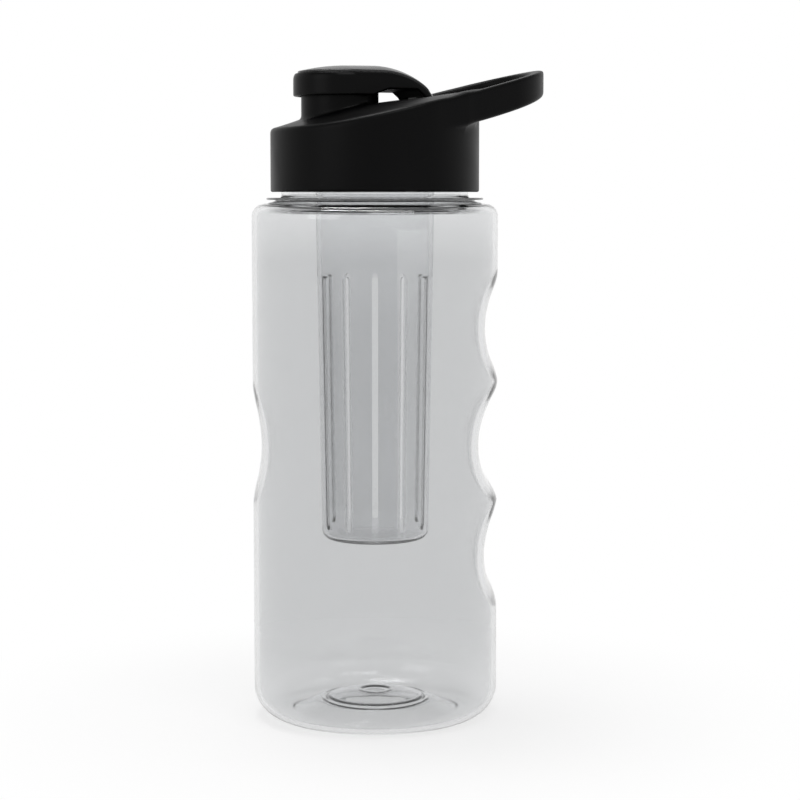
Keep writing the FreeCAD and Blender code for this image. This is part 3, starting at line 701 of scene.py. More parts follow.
def lid_field(s, cap):
    """The moulded lid: skirt, rounded rim, sunk deck, spout, hinge lug, basket socket and carry loop."""
    spout_top = cap.hinge_z + s.spout_over
    top_line = s.seat + s.loop_rise
    tip = top_line + s.loop_reach * math.tan(s.loop_slope) - s.loop_tip
    foot = s.seat + s.loop_foot
    upright = math.cos(s.loop_slope)
    edges = LID_EDGES

    def field(p):
        x, y, z = np.moveaxis(p, -1, 0)
        r = np.hypot(x, y)
        edge = soft_max(s.rim_rise + x * math.tan(s.rim_slope), s.rim_front, edges.rim_front)
        cone = (z - s.seat - edge - (s.radius - r) * math.tan(s.cone)) * math.cos(s.rim_slope)
        crest = (z - s.seat - s.crest_rise - x * math.tan(s.crest_slope)) * math.cos(s.crest_slope)
        body = soft_max(r - s.radius, soft_max(cone, crest, s.crest_round), s.edge)
        body = soft_max(body, s.low - z, edges.skirt)
        above = (z - s.seat - s.dish_rise - x * math.tan(s.dish_slope)) * math.cos(s.dish_slope)
        dish = soft_max(np.hypot(x - s.dish_offset, y) - s.dish_radius, -above, edges.dish)
        body = carve(body, dish, edges.dish)
        behind = np.abs(x - cap.hinge_x - s.lug_radius) - 2 * s.lug_radius
        pocket = soft_max(behind, np.abs(y) - cap.half_width - POCKET_ROOM, edges.pocket)
        body = carve(body, np.maximum(pocket, -above - s.hinge_room), edges.pocket_rim)
        body = carve(body, np.maximum(r - s.bore, z - s.seat), edges.inside)
        body = carve(body, np.maximum(r - s.cavity_radius, above + s.deck_wall), edges.inside)
        middle = s.socket_radius + s.socket_wall / 2
        socket = soft_max(np.abs(r - middle) - s.socket_wall / 2, s.socket_low - z, edges.socket)
        body = soft_min(body, np.maximum(socket, above + s.deck_wall / 2), edges.socket_root)
        q = np.hypot(x + s.spout_offset, y)
        spout = soft_max(q - s.spout_radius, z - spout_top, edges.spout_lip)
        spout = soft_max(spout, -above - s.deck_wall / 2, edges.spout_foot)
        body = soft_min(body, spout, edges.spout_root)
        body = carve(body, np.maximum(q - s.spout_bore, -above - s.deck_wall - BORE_PAST), edges.spout_bore)
        knuckle = np.hypot(x - cap.hinge_x, np.maximum(z - cap.hinge_z, 0)) - s.lug_radius
        lug = soft_max(knuckle, np.abs(y) - s.lug_width / 2, edges.lug)
        body = soft_min(body, np.maximum(lug, -above - s.deck_wall / 2), edges.lug_root)
        outer = egg(x, y, s.radius, s.loop_nose, s.loop_reach - s.loop_nose)
        share = np.clip((x - s.loop_start) / (s.loop_reach - s.loop_start), 0, PAST_END)
        under = foot + (tip - foot) * share - 4 * s.loop_sag * share * (1 - share)
        band = soft_max(outer, -outer - s.loop_width, s.edge)
        band = soft_max(band, (z - top_line - x * math.tan(s.loop_slope)) * upright, s.edge)
        band = soft_max(band, (under - z) * upright, s.edge)
        band = soft_max(band, s.loop_start - x, edges.loop_start)
        apart = np.clip((r - s.radius - outer) / LOOP_CLEAR, 0, 1)
        return soft_min(body, band, edges.loop_join + s.blend * apart)

    return field


# Flip cap and panel

def cap_plan(s, lid, x, y):
    """Distance from the cap's plan outline: a round front with sides that draw in to the hinge."""
    end = s.hinge_x + s.cheek + s.tail
    ahead = x + lid.spout_offset
    fall = (s.radius - s.half_width) / (end + lid.spout_offset)
    side = (np.abs(y) - s.radius + fall * ahead) / math.hypot(1, fall)
    return np.where(ahead < 0, np.hypot(ahead, y) - s.radius, soft_max(side, x - end, CAP_EDGES.tail))


def over_cap(s, x, z):
    """Height above the cap's outside: level at the front, round an arc at the back."""
    end = s.hinge_x + s.cheek + s.tail
    start = end - math.sqrt(s.back ** 2 - (s.back - s.height) ** 2)
    top = s.hinge_z + s.height
    return np.where(x < start, z - top, np.hypot(x - start, z - top + s.back) - s.back)


def crowned(s, lid, x, y, over):
    """The panel's top over the cap: it swells from a low edge along the seam to its crown."""
    front = -lid.spout_offset - s.radius
    forward = np.clip((s.panel_high - x) / (s.panel_high - front), 0, PAST_END)
    plan = cap_plan(s, lid, x, y) + s.panel_inset + s.seam
    outward = 1 - np.clip(-plan / s.panel_round, 0, 1)
    crown = s.panel_crown * (1 - outward ** 2) * (1 - s.panel_fall * forward ** 2) - s.panel_sink
    return soft_max(plan, over - crown, s.panel_edge)


def lug_room(s, x, y):
    """The notch between the cheeks."""
    return np.maximum(s.notch_start - x, np.abs(y) - s.notch / 2)


def cap_field(s, lid):
    """The flip cap: a shell over the spout with a seat for its panel and cheeks at the hinge."""
    edges = CAP_EDGES

    def field(p):
        x, y, z = np.moveaxis(p, -1, 0)
        plan = cap_plan(s, lid, x, y)
        over = over_cap(s, x, z)
        rise = np.clip((x + s.side_start) / s.side_start, 0, 1)
        rise = np.minimum(rise, np.clip((s.hinge_x - s.cheek - x) / s.cheek, 0, 1))
        lower = s.hinge_z + s.side_rise * rise - z
        lower = soft_min(lower, np.hypot(x - s.hinge_x, z - s.hinge_z) - s.cheek, edges.cheek)
        block = soft_max(soft_max(plan, over, s.edge), lower, edges.lower)
        q = np.hypot(x + lid.spout_offset, y)
        roof = z - s.hinge_z - s.height + s.roof
        block = carve(block, soft_max(q - s.radius + s.wall, roof, edges.hollow), edges.hollow_rim)
        block = carve(block, lug_room(s, x, y), edges.notch)
        block = carve(block, np.maximum(plan + s.panel_inset, -over - s.panel_depth), edges.seat)
        bore = np.hypot(x - s.hinge_x, z - s.hinge_z) - PIN_HOLE
        return carve(block, np.maximum(bore, np.abs(y) - s.half_width + PIN_COVER), edges.pin)

    return field


def panel_field(s, lid):
    """The crowned panel that lies in the cap's seat."""

    def field(p):
        x, y, z = np.moveaxis(p, -1, 0)
        over = over_cap(s, x, z)
        under = -over - s.panel_depth + PANEL_GAP
        panel = soft_max(crowned(s, lid, x, y, over), under, CAP_EDGES.panel_under)
        return carve(panel, lug_room(s, x, y), CAP_EDGES.panel_notch)

    return field


# Basket

def sector_rows(s):
    """The basket's profile from the bottom's middle, up the outside and down the inside."""
    flange_high = s.top - s.plug
    flange_low = flange_high - s.flange
    half = s.slot_width / 2
    low = s.low + s.corner
    slot = np.linspace(s.slot_low + half, s.slot_high - half, SLOT_ROWS)
    walls = [low, *slot, s.slot_high + 1.5, *np.linspace(s.slot_high + 4, flange_low - 0.5, UPPER_ROWS)]
    fall = (s.mouth - s.foot) / (flange_low - low)

    def wall_at(z):
        return s.foot + fall * (z - low)

    outside = [(r, s.low) for r in BOTTOM_ROWS]
    outside += arc(s.foot - s.corner, low, s.corner, -90, 0, 6)[:-1]
    first = len(outside)
    outside += [(wall_at(z), z) for z in walls]
    rim = [(s.mouth + FLANGE_FILLET, flange_low - 0.1), (s.flange_radius - FLANGE_EDGE, flange_low)]
    rim += round_side(s.flange_radius, flange_low, flange_high, FLANGE_EDGE, 3)[1:]
    rim += [(s.plug_radius + FLANGE_FILLET, flange_high), (s.plug_radius, flange_high + FLANGE_FILLET)]
    rim += arc(s.plug_radius - PLUG_EDGE, s.top - PLUG_EDGE, PLUG_EDGE, 0, 90, 3)
    inner = s.plug_radius - s.wall
    rim += arc(inner + MOUTH_EDGE, s.top - MOUTH_EDGE, MOUTH_EDGE, 90, 180, 3)
    rim += [(inner, flange_high), (inner, flange_low)]
    second = len(outside) + len(rim)
    inside = [(wall_at(z) - s.wall, z) for z in walls[::-1]]
    inside += arc(s.foot - s.corner, low, s.corner - s.wall, 0, -90, 5)[1:]
    inside += [(r, s.low + s.wall) for r in BOTTOM_ROWS[::-1]]
    last = second + len(walls) - 1
    return outside + rim + inside, first + 1, first + len(slot), last - 1, last - len(slot)


def basket_sector(s):
    """One of the basket's equal sectors, with its slot left open. Its sides meet the next sectors'."""
    rows, low, high, inner_low, inner_high = sector_rows(s)
    half = math.pi / s.slots
    gap = s.slot_width / 2 / ((s.mouth + s.foot) / 2)
    outer_columns = np.linspace(half, gap * SIDE_START, SIDE_COLUMNS)
    slot_columns = gap * np.array(SLOT_COLUMNS)
    columns = np.array([*-outer_columns, *-slot_columns, *outer_columns[::-1]])
    width = len(columns)
    bump = s.slot_width / 2 * np.sqrt(np.clip(1 - (columns / gap) ** 2, 0, 1))
    lift = {low: -1, inner_low: -1, high: 1, inner_high: 1}
    points = []
    for number, (radius, height) in enumerate(rows):
        z = height + lift.get(number, 0) * bump
        points.extend(zip(radius * np.cos(columns), radius * np.sin(columns), z))
    left = len(outer_columns)
    right = left + len(slot_columns) - 1
    faces = []
    for i in range(len(rows) - 1):
        for j in range(width - 1):
            open_row = low <= i < high or inner_high <= i < inner_low
            if open_row and left <= j < right:
                continue
            a = i * width + j
            faces.append((a, a + 1, a + width + 1, a + width))
    edge = [(low, j) for j in range(left, right)] + [(i, right) for i in range(low, high)]
    edge += [(high, j) for j in range(right, left, -1)] + [(i, left) for i in range(high, low, -1)]

    def facing(row, column):
        return (inner_low - (row - low)) * width + column

    for (i, j), (k, m) in zip(edge, edge[1:] + edge[:1]):
        faces.append((k * width + m, i * width + j, facing(i, j), facing(k, m)))
    for end, below in ((0, True), (len(rows) - 1, False)):
        points.append((0, 0, rows[end][1]))
        ring = range(end * width, end * width + width - 1)
        pole = len(points) - 1
        faces.extend((pole, a + 1, a) if below else (pole, a, a + 1) for a in ring)
    return points, faces


# Geometry node trees

def new_tree(name, inputs):
    """A geometry node tree with named inputs and one geometry output."""
    tree = bpy.data.node_groups.new(name, "GeometryNodeTree")
    for label, kind in inputs:
        tree.interface.new_socket(label, in_out="INPUT", socket_type=kind)
    tree.interface.new_socket("Geometry", in_out="OUTPUT", socket_type="NodeSocketGeometry")
    return tree, tree.nodes.new("NodeGroupInput"), tree.nodes.new("NodeGroupOutput")


def finish_tree(tree, source, entry, end):
    """End a tree in realised, smooth geometry with its material."""
    real = tree.nodes.new("GeometryNodeRealizeInstances")
    merge = tree.nodes.new("GeometryNodeMergeByDistance")
    merge.inputs["Distance"].default_value = 0.01 * MM
    dress = tree.nodes.new("GeometryNodeSetMaterial")
    tree.links.new(source, real.inputs["Geometry"])
    tree.links.new(real.outputs["Geometry"], merge.inputs["Geometry"])
    tree.links.new(merge.outputs["Geometry"], dress.inputs["Geometry"])
    tree.links.new(entry.outputs["Material"], dress.inputs["Material"])
    tree.links.new(dress.outputs["Geometry"], end.inputs["Geometry"])


def ring_tree():
    """Repeat a sector evenly round the axis and join the copies."""
    tree, entry, end = new_tree("even_ring", [
        ("Sector", "NodeSocketGeometry"),
        ("Count", "NodeSocketInt"),
        ("First Angle", "NodeSocketFloat"),
        ("Material", "NodeSocketMaterial"),
    ])
    nodes, links = tree.nodes, tree.links
    points = nodes.new("GeometryNodePoints")
    index = nodes.new("GeometryNodeInputIndex")
    whole = nodes.new("ShaderNodeMath")
    whole.operation = "DIVIDE"
    whole.inputs[0].default_value = 2 * math.pi
    turn = nodes.new("ShaderNodeMath")
    turn.operation = "MULTIPLY_ADD"
    spin = nodes.new("ShaderNodeCombineXYZ")
    copies = nodes.new("GeometryNodeInstanceOnPoints")
    links.new(entry.outputs["Count"], points.inputs["Count"])
    links.new(entry.outputs["Count"], whole.inputs[1])
    links.new(index.outputs["Index"], turn.inputs[0])
    links.new(whole.outputs["Value"], turn.inputs[1])
    links.new(entry.outputs["First Angle"], turn.inputs[2])
    links.new(turn.outputs["Value"], spin.inputs["Z"])
    links.new(points.outputs[0], copies.inputs["Points"])
    links.new(entry.outputs["Sector"], copies.inputs["Instance"])
    links.new(spin.outputs["Vector"], copies.inputs["Rotation"])
    finish_tree(tree, copies.outputs["Instances"], entry, end)
    return tree


def thread_tree():
    """Sweep a trapezium along a helix."""
    tree, entry, end = new_tree("screw_thread", [
        ("Blank", "NodeSocketGeometry"),
        ("Radius", "NodeSocketFloat"),
        ("Turns", "NodeSocketFloat"),
        ("Rise", "NodeSocketFloat"),
        ("Start", "NodeSocketVector"),
        ("Root", "NodeSocketFloat"),
        ("Crest", "NodeSocketFloat"),
        ("Depth", "NodeSocketFloat"),
        ("Material", "NodeSocketMaterial"),
    ])
    nodes, links = tree.nodes, tree.links
    helix = nodes.new("GeometryNodeCurveSpiral")
    helix.inputs["Resolution"].default_value = 96
    upright = nodes.new("GeometryNodeSetCurveNormal")
    upright.mode = "Z_UP"
    profile = nodes.new("GeometryNodeCurvePrimitiveQuadrilateral")
    profile.mode = "TRAPEZOID"
    profile.inputs["Offset"].default_value = 0
    sweep = nodes.new("GeometryNodeCurveToMesh")
    sweep.inputs["Fill Caps"].default_value = True
    move = nodes.new("GeometryNodeTransform")
    links.new(entry.outputs["Radius"], helix.inputs["Start Radius"])
    links.new(entry.outputs["Radius"], helix.inputs["End Radius"])
    links.new(entry.outputs["Turns"], helix.inputs["Rotations"])
    links.new(entry.outputs["Rise"], helix.inputs["Height"])
    links.new(entry.outputs["Root"], profile.inputs["Bottom Width"])
    links.new(entry.outputs["Crest"], profile.inputs["Top Width"])
    links.new(entry.outputs["Depth"], profile.inputs["Height"])
    links.new(helix.outputs["Curve"], upright.inputs["Curve"])
    links.new(upright.outputs["Curve"], sweep.inputs["Curve"])
    links.new(profile.outputs["Curve"], sweep.inputs["Profile Curve"])
    links.new(sweep.outputs["Mesh"], move.inputs["Geometry"])
    links.new(entry.outputs["Start"], move.inputs["Translation"])
    finish_tree(tree, move.outputs["Geometry"], entry, end)
    return tree


def run_tree(item, tree, values, sharp):
    """Give an object what a tree makes of it, as a plain mesh with its faces turned outwards."""
    modifier = item.modifiers.new("shape", "NODES")
    modifier.node_group = tree
    for socket in tree.interface.items_tree:
        if socket.in_out == "INPUT" and socket.name in values:
            modifier[socket.identifier] = values[socket.name]
    graph = bpy.context.evaluated_depsgraph_get()
    mesh = bpy.data.meshes.new_from_object(item.evaluated_get(graph))
    item.modifiers.remove(modifier)
    item.data = mesh
    edit = bmesh.new()
    edit.from_mesh(mesh)
    bmesh.ops.recalc_face_normals(edit, faces=edit.faces)
    edit.to_mesh(mesh)
    edit.free()
    mesh.shade_smooth()
    mesh.set_sharp_from_angle(angle=math.radians(sharp))


# Materials

def new_group(name, inputs, outputs):
    """A shader node group with named inputs and outputs."""
    group = bpy.data.node_groups.new(name, "ShaderNodeTree")
    for label, kind, value in inputs:
        socket = group.interface.new_socket(label, in_out="INPUT", socket_type=kind)
        if value is not None:
            socket.default_value = value
    for label, kind in outputs:
        group.interface.new_socket(label, in_out="OUTPUT", socket_type=kind)
    return group, group.nodes.new("NodeGroupInput"), group.nodes.new("NodeGroupOutput")


def grain_group():
    """Fine moulded grain as a height, from noise of several sizes."""
    group, entry, end = new_group(
        "moulded_grain",
        [("Vector", "NodeSocketVector", None), ("Scale", "NodeSocketFloat", 1500.0)],
        [("Height", "NodeSocketFloat")],
    )
    noise = group.nodes.new("ShaderNodeTexNoise")
    noise.inputs["Detail"].default_value = 3
    noise.inputs["Roughness"].default_value = 0.6
    group.links.new(entry.outputs["Vector"], noise.inputs["Vector"])
    group.links.new(entry.outputs["Scale"], noise.inputs["Scale"])
    group.links.new(noise.outputs["Fac"], end.inputs["Height"])
    return group


def handling_group():
    """Faint smears of handling, as a value that drifts between two levels."""
    group, entry, end = new_group(
        "handling_marks",
        [
            ("Vector", "NodeSocketVector", None),
            ("Scale", "NodeSocketFloat", 60.0),
            ("Low", "NodeSocketFloat", 0.0),
            ("High", "NodeSocketFloat", 1.0),
        ],
        [("Value", "NodeSocketFloat")],
    )
    noise = group.nodes.new("ShaderNodeTexNoise")
    noise.inputs["Detail"].default_value = 5
    noise.inputs["Distortion"].default_value = 0.6
    spread = group.nodes.new("ShaderNodeMapRange")
    spread.interpolation_type = "SMOOTHSTEP"
    spread.inputs["From Min"].default_value = 0.3
    spread.inputs["From Max"].default_value = 0.7
    group.links.new(entry.outputs["Vector"], noise.inputs["Vector"])
    group.links.new(entry.outputs["Scale"], noise.inputs["Scale"])
    group.links.new(noise.outputs["Fac"], spread.inputs["Value"])
    group.links.new(entry.outputs["Low"], spread.inputs["To Min"])
    group.links.new(entry.outputs["High"], spread.inputs["To Max"])
    group.links.new(spread.outputs["Result"], end.inputs["Value"])
    return group


def shared_group(name, make):
    """A node group by name, made the first time that it is asked for."""
    return bpy.data.node_groups.get(name) or make()


def new_material(name):
    """A material's node tree, its main shader and its object coordinates."""
    material = bpy.data.materials.new(name)
    material.use_nodes = True
    tree = material.node_tree
    place = tree.nodes.new("ShaderNodeTexCoord")
    return material, tree, tree.nodes["Principled BSDF"], place.outputs["Object"]


def add_marks(tree, shader, place, scale, low, high):
    """Let the roughness drift with handling."""
    marks = tree.nodes.new("ShaderNodeGroup")
    marks.node_tree = shared_group("handling_marks", handling_group)
    marks.inputs["Scale"].default_value = scale
    marks.inputs["Low"].default_value = low
    marks.inputs["High"].default_value = high
    tree.links.new(place, marks.inputs["Vector"])
    tree.links.new(marks.outputs["Value"], shader.inputs["Roughness"])
    return marks


def add_grain(tree, shader, place, scale, depth):
    """Give the surface a fine moulded grain, its depth in millimetres."""
    grain = tree.nodes.new("ShaderNodeGroup")
    grain.node_tree = shared_group("moulded_grain", grain_group)
    grain.inputs["Scale"].default_value = scale
    bump = tree.nodes.new("ShaderNodeBump")
    bump.inputs["Distance"].default_value = depth * MM
    tree.links.new(place, grain.inputs["Vector"])
    tree.links.new(grain.outputs["Height"], bump.inputs["Height"])
    tree.links.new(bump.outputs["Normal"], shader.inputs["Normal"])


def height_share(tree, place, low, high):
    """A share that rises from 0 at a low height to 1 at a high one, both in millimetres."""
    parts = tree.nodes.new("ShaderNodeSeparateXYZ")
    share = tree.nodes.new("ShaderNodeMapRange")
    share.inputs["From Min"].default_value = low * MM
    share.inputs["From Max"].default_value = high * MM
    tree.links.new(place, parts.inputs["Vector"])
    tree.links.new(parts.outputs["Z"], share.inputs["Value"])
    return share.outputs["Result"]


def blend_tints(tree, share, first, second):
    """Mix a first colour, a tint or another node's output, with a second tint by a varying share."""
    mix = tree.nodes.new("ShaderNodeMix")
    mix.data_type = "RGBA"
    tree.links.new(share, mix.inputs["Factor"])
    if isinstance(first, bpy.types.NodeSocket):
        tree.links.new(first, mix.inputs["A"])
    else:
        mix.inputs["A"].default_value = (*first, 1)
    mix.inputs["B"].default_value = (*second, 1)
    return mix.outputs["Result"]


def opaque_plastic(name, tint, rough, grain, specular):
    """A moulded plastic or rubber with grain and faint handling marks in its colour and its shine."""
    material, tree, shader, place = new_material(name)
    shader.inputs["Specular IOR Level"].default_value = specular
    marks = add_marks(tree, shader, place, scale=45, low=rough[0], high=rough[1])
    tone = tree.nodes.new("ShaderNodeMapRange")
    tone.inputs["From Min"].default_value = rough[0]
    tone.inputs["From Max"].default_value = rough[1]
    tree.links.new(marks.outputs["Value"], tone.inputs["Value"])
    dark = [MARKS_DARK * v for v in tint]
    light = [MARKS_LIGHT * v for v in tint]
    tree.links.new(blend_tints(tree, tone.outputs["Result"], dark, light), shader.inputs["Base Color"])
    add_grain(tree, shader, place, *grain)
    return material


def clear_plastic(name, tints, high, ring_low, ring_high):
    """Clear blown plastic: its tint is painted paler towards the bottom and the top as painted light, and
    dark in the ring under the lid as painted shade.
    """
    material, tree, shader, place = new_material(name)
    shader.inputs["Transmission Weight"].default_value = 1
    shader.inputs["IOR"].default_value = CLEAR_IOR
    add_marks(tree, shader, place, scale=55, low=0, high=0.045)
    ramp = tree.nodes.new("ShaderNodeValToRGB")
    # Painted light: the paler tint at the bottom and the top
    stops = ramp.color_ramp.elements
    stops[0].color = (*tints.clear_thin, 1)
    stops[1].color = (*tints.clear_thin, 1)
    for at in WALL_STOPS:
        stops.new(at).color = (*tints.clear, 1)
    # Painted shade: the dark tint in the ring under the lid
    for at, tint in RING_STOPS:
        stops.new((ring_low + at * (ring_high - ring_low)) / high).color = (*getattr(tints, tint), 1)
    tree.links.new(height_share(tree, place, 0, high), ramp.inputs["Fac"])
    tree.links.new(ramp.outputs["Color"], shader.inputs["Base Color"])
    return material


def frosted_plastic(name, tint, thin, low, high):
    """Translucent plastic with a fine frost and faint moulding clouds in its tint, paler towards the top."""
    material, tree, shader, place = new_material(name)
    shader.inputs["Transmission Weight"].default_value = 1
    shader.inputs["IOR"].default_value = FROST_IOR
    add_marks(tree, shader, place, scale=70, low=0.06, high=0.11)
    cloud = tree.nodes.new("ShaderNodeGroup")
    cloud.node_tree = shared_group("handling_marks", handling_group)
    cloud.inputs["Scale"].default_value = 25
    tree.links.new(place, cloud.inputs["Vector"])
    cloudy = blend_tints(tree, cloud.outputs["Value"], [CLOUD_DARK * v for v in tint], tint)
    # The tint turns paler towards the top
    paler = blend_tints(tree, height_share(tree, place, low, high), cloudy, thin)
    tree.links.new(paler, shader.inputs["Base Color"])
    return material


def drawn_steel(name, tint):
    """Drawn steel wire with fine lines along its length."""
    material, tree, shader, place = new_material(name)
    shader.inputs["Metallic"].default_value = 1
    shader.inputs["Base Color"].default_value = (*tint, 1)
    along = tree.nodes.new("ShaderNodeMapping")
    along.inputs["Scale"].default_value = (1, 0.02, 1)
    tree.links.new(place, along.inputs["Vector"])
    add_marks(tree, shader, along.outputs["Vector"], scale=2500, low=0.18, high=0.38)
    add_grain(tree, shader, along.outputs["Vector"], scale=4000, depth=0.01)
    return material


def finish_of(scene, slot):
    """The material for one of the record's slots, made the first time that it is asked for."""
    name = slot + "_finish"
    known = bpy.data.materials.get(name)
    if known:
        return known
    tints = scene.infuser_finishes
    if slot in MOULDED:
        tint, *looks = MOULDED[slot]
        return opaque_plastic(name, getattr(tints, tint), *looks)
    if slot == "clear_bottle":
        bottle = plain(scene.infuser_bottle)
        low = ring_base(bottle)
        return clear_plastic(name, tints, bottle.neck_top, low, low + bottle.ring_thick)
    if slot == "frosted_basket":
        high = plain(scene.infuser_basket).slot_high
        return frosted_plastic(name, tints.frost, tints.frost_upper, high - FROST_REACH, high + FROST_REACH)
    if slot == "steel_pin":
        return drawn_steel(name, tints.steel)
    raise RuntimeError(f"no finish for {slot}")


# Operators

class MakeBottle(bpy.types.Operator):
    """Make the clear bottle with its grips, domed bottom and threaded neck"""
    bl_idname = "infuser.make_bottle"
    bl_label = "Bottle"

    def execute(self, context):
        s = plain(context.scene.infuser_bottle)
        rows, kinds = bottle_rows(s)
        points, faces = lathe(rows, s.segments, bottle_reach(s, kinds))
        bottle = new_object("clear_bottle", points, faces, finish_of(context.scene, "clear_bottle"))
        settle(bottle, "bottle", "clear_bottle", "bottle")
        return {"FINISHED"}


class MakeLid(bpy.types.Operator):
    """Make the moulded lid with its carry loop, and the thread in its skirt"""
    bl_idname = "infuser.make_lid"
    bl_label = "Lid"

    def execute(self, context):
        scene = context.scene
        s = plain(scene.infuser_lid)
        cap = plain(scene.infuser_cap)
        neck = plain(scene.infuser_bottle)
        material = finish_of(scene, "black_lid")
        points, faces = surface_net(lid_field(s, cap), LID_LOW, LID_HIGH, s.step)
        lid = new_object("lid_moulding", points, faces, material, sharp=60)
        settle(lid, "lid", "black_lid", "lid_body")
        thread = new_object("lid_thread", [], [], material)
        run_tree(thread, thread_tree(), {
            "Radius": (s.bore - LID_THREAD.sink) * MM,
            "Turns": s.thread_turns,
            "Rise": neck.thread_pitch * s.thread_turns * MM,
            "Start": (0, 0, (neck.neck_top - neck.thread_rise - LID_THREAD.drop) * MM),
            "Root": LID_THREAD.root * MM,
            "Crest": LID_THREAD.crest * MM,
            "Depth": LID_THREAD.depth * MM,
            "Material": material,
        }, sharp=35)
        settle(thread, "lid", "black_lid")
        return {"FINISHED"}


class MakeCap(bpy.types.Operator):
    """Make the flip cap and the crowned panel set in its top"""
    bl_idname = "infuser.make_cap"
    bl_label = "Flip cap"

    def execute(self, context):
        scene = context.scene
        s = plain(scene.infuser_cap)
        lid = plain(scene.infuser_lid)
        low, high = extent("cap_panel")
        reach = np.maximum(CAP_HIGH, high) + np.array([s.tail, 0, 0])
        points, faces = surface_net(cap_field(s, lid), CAP_LOW, reach, s.step)
        cap = new_object("flip_cap_shell", points, faces, finish_of(scene, "black_cap"), sharp=60)
        settle(cap, "cap", "black_cap", "flip_cap")
        points, faces = surface_net(panel_field(s, lid), np.minimum(CAP_LOW, low), reach, s.step)
        panel = new_object("flip_cap_panel", points, faces, finish_of(scene, "black_panel"), sharp=60)
        settle(panel, "cap", "black_panel", "cap_panel")
        return {"FINISHED"}


class MakeSeals(bpy.types.Operator):
    """Make the gasket, the spout seal and the hinge pin"""
    bl_idname = "infuser.make_seals"
    bl_label = "Seals and pin"

    def execute(self, context):
        scene = context.scene
        lid = plain(scene.infuser_lid)
        low, high = GASKET_LOW[2], GASKET_HIGH[2]
        rows = round_side(GASKET_HIGH[1], low, high, GASKET_EDGE)
        rows += round_bore(GASKET_BORE, low, high, GASKET_EDGE)
        gasket = turned_ring("gasket_ring", rows, GASKET_SEGMENTS, finish_of(scene, "silicone"))
        settle(gasket, "gasket", "silicone", "lid_gasket")
        self.make_seal(scene, lid)
        self.make_pin(scene)
        return {"FINISHED"}

    def make_seal(self, scene, lid):
        """The seal: a pad on the spout's lip and a hollow plug in its bore."""
        low, high = SEAL_LOW[2], SEAL_HIGH[2]
        pad = (SEAL_HIGH[1] - SEAL_LOW[1]) / 2
        plug = lid.spout_bore - SEAL_ROOM
        lip = high - SEAL_PAD
        edge = SEAL_EDGE
        rows = [(0, low + SEAL_DOME), *((plug - inward, low + rise) for inward, rise in SEAL_HOLLOW)]
        rows += arc(plug - edge, low + edge, edge, -70, 0, CORNER_STEPS)
        rows += [(plug, lip - 0.3), (plug + 0.3, lip), *round_side(pad, lip, high, edge), (0, high)]
        points, faces = lathe(rows, SEAL_SEGMENTS)
        points = [(x - lid.spout_offset, y, z) for x, y, z in points]
        seal = new_object("seal_plug", points, faces, finish_of(scene, "silicone"), sharp=50)
        settle(seal, "cap", "silicone", "spout_seal")

    def make_pin(self, scene):
        """The pin: a wire along Y with domed ends."""
        half = (PIN_HIGH[1] - PIN_LOW[1]) / 2
        radius = (PIN_HIGH[2] - PIN_LOW[2]) / 2
        rows = [(0, -half), *round_side(radius, -half, half, PIN_EDGE), (0, half)]
        points, faces = lathe(rows, PIN_SEGMENTS)
        points = [(x + PIN_MIDDLE[0], z, PIN_MIDDLE[2] - y) for x, y, z in points]
        pin = new_object("hinge_wire", points, faces, finish_of(scene, "steel_pin"), sharp=50)
        settle(pin, "lid", "steel_pin", "hinge_pin")


class MakeBasket(bpy.types.Operator):
    """Make the slotted basket from equal sectors"""
    bl_idname = "infuser.make_basket"
    bl_label = "Basket"

    def execute(self, context):
        s = plain(context.scene.infuser_basket)
        material = finish_of(context.scene, "frosted_basket")
        points, faces = basket_sector(s)
        basket = new_object("slotted_basket", points, faces, material)
        values = {"Count": s.slots, "First Angle": s.turn, "Material": material}
        run_tree(basket, ring_tree(), values, sharp=40)
        settle(basket, "basket", "frosted_basket", "infuser_basket")
        return {"FINISHED"}


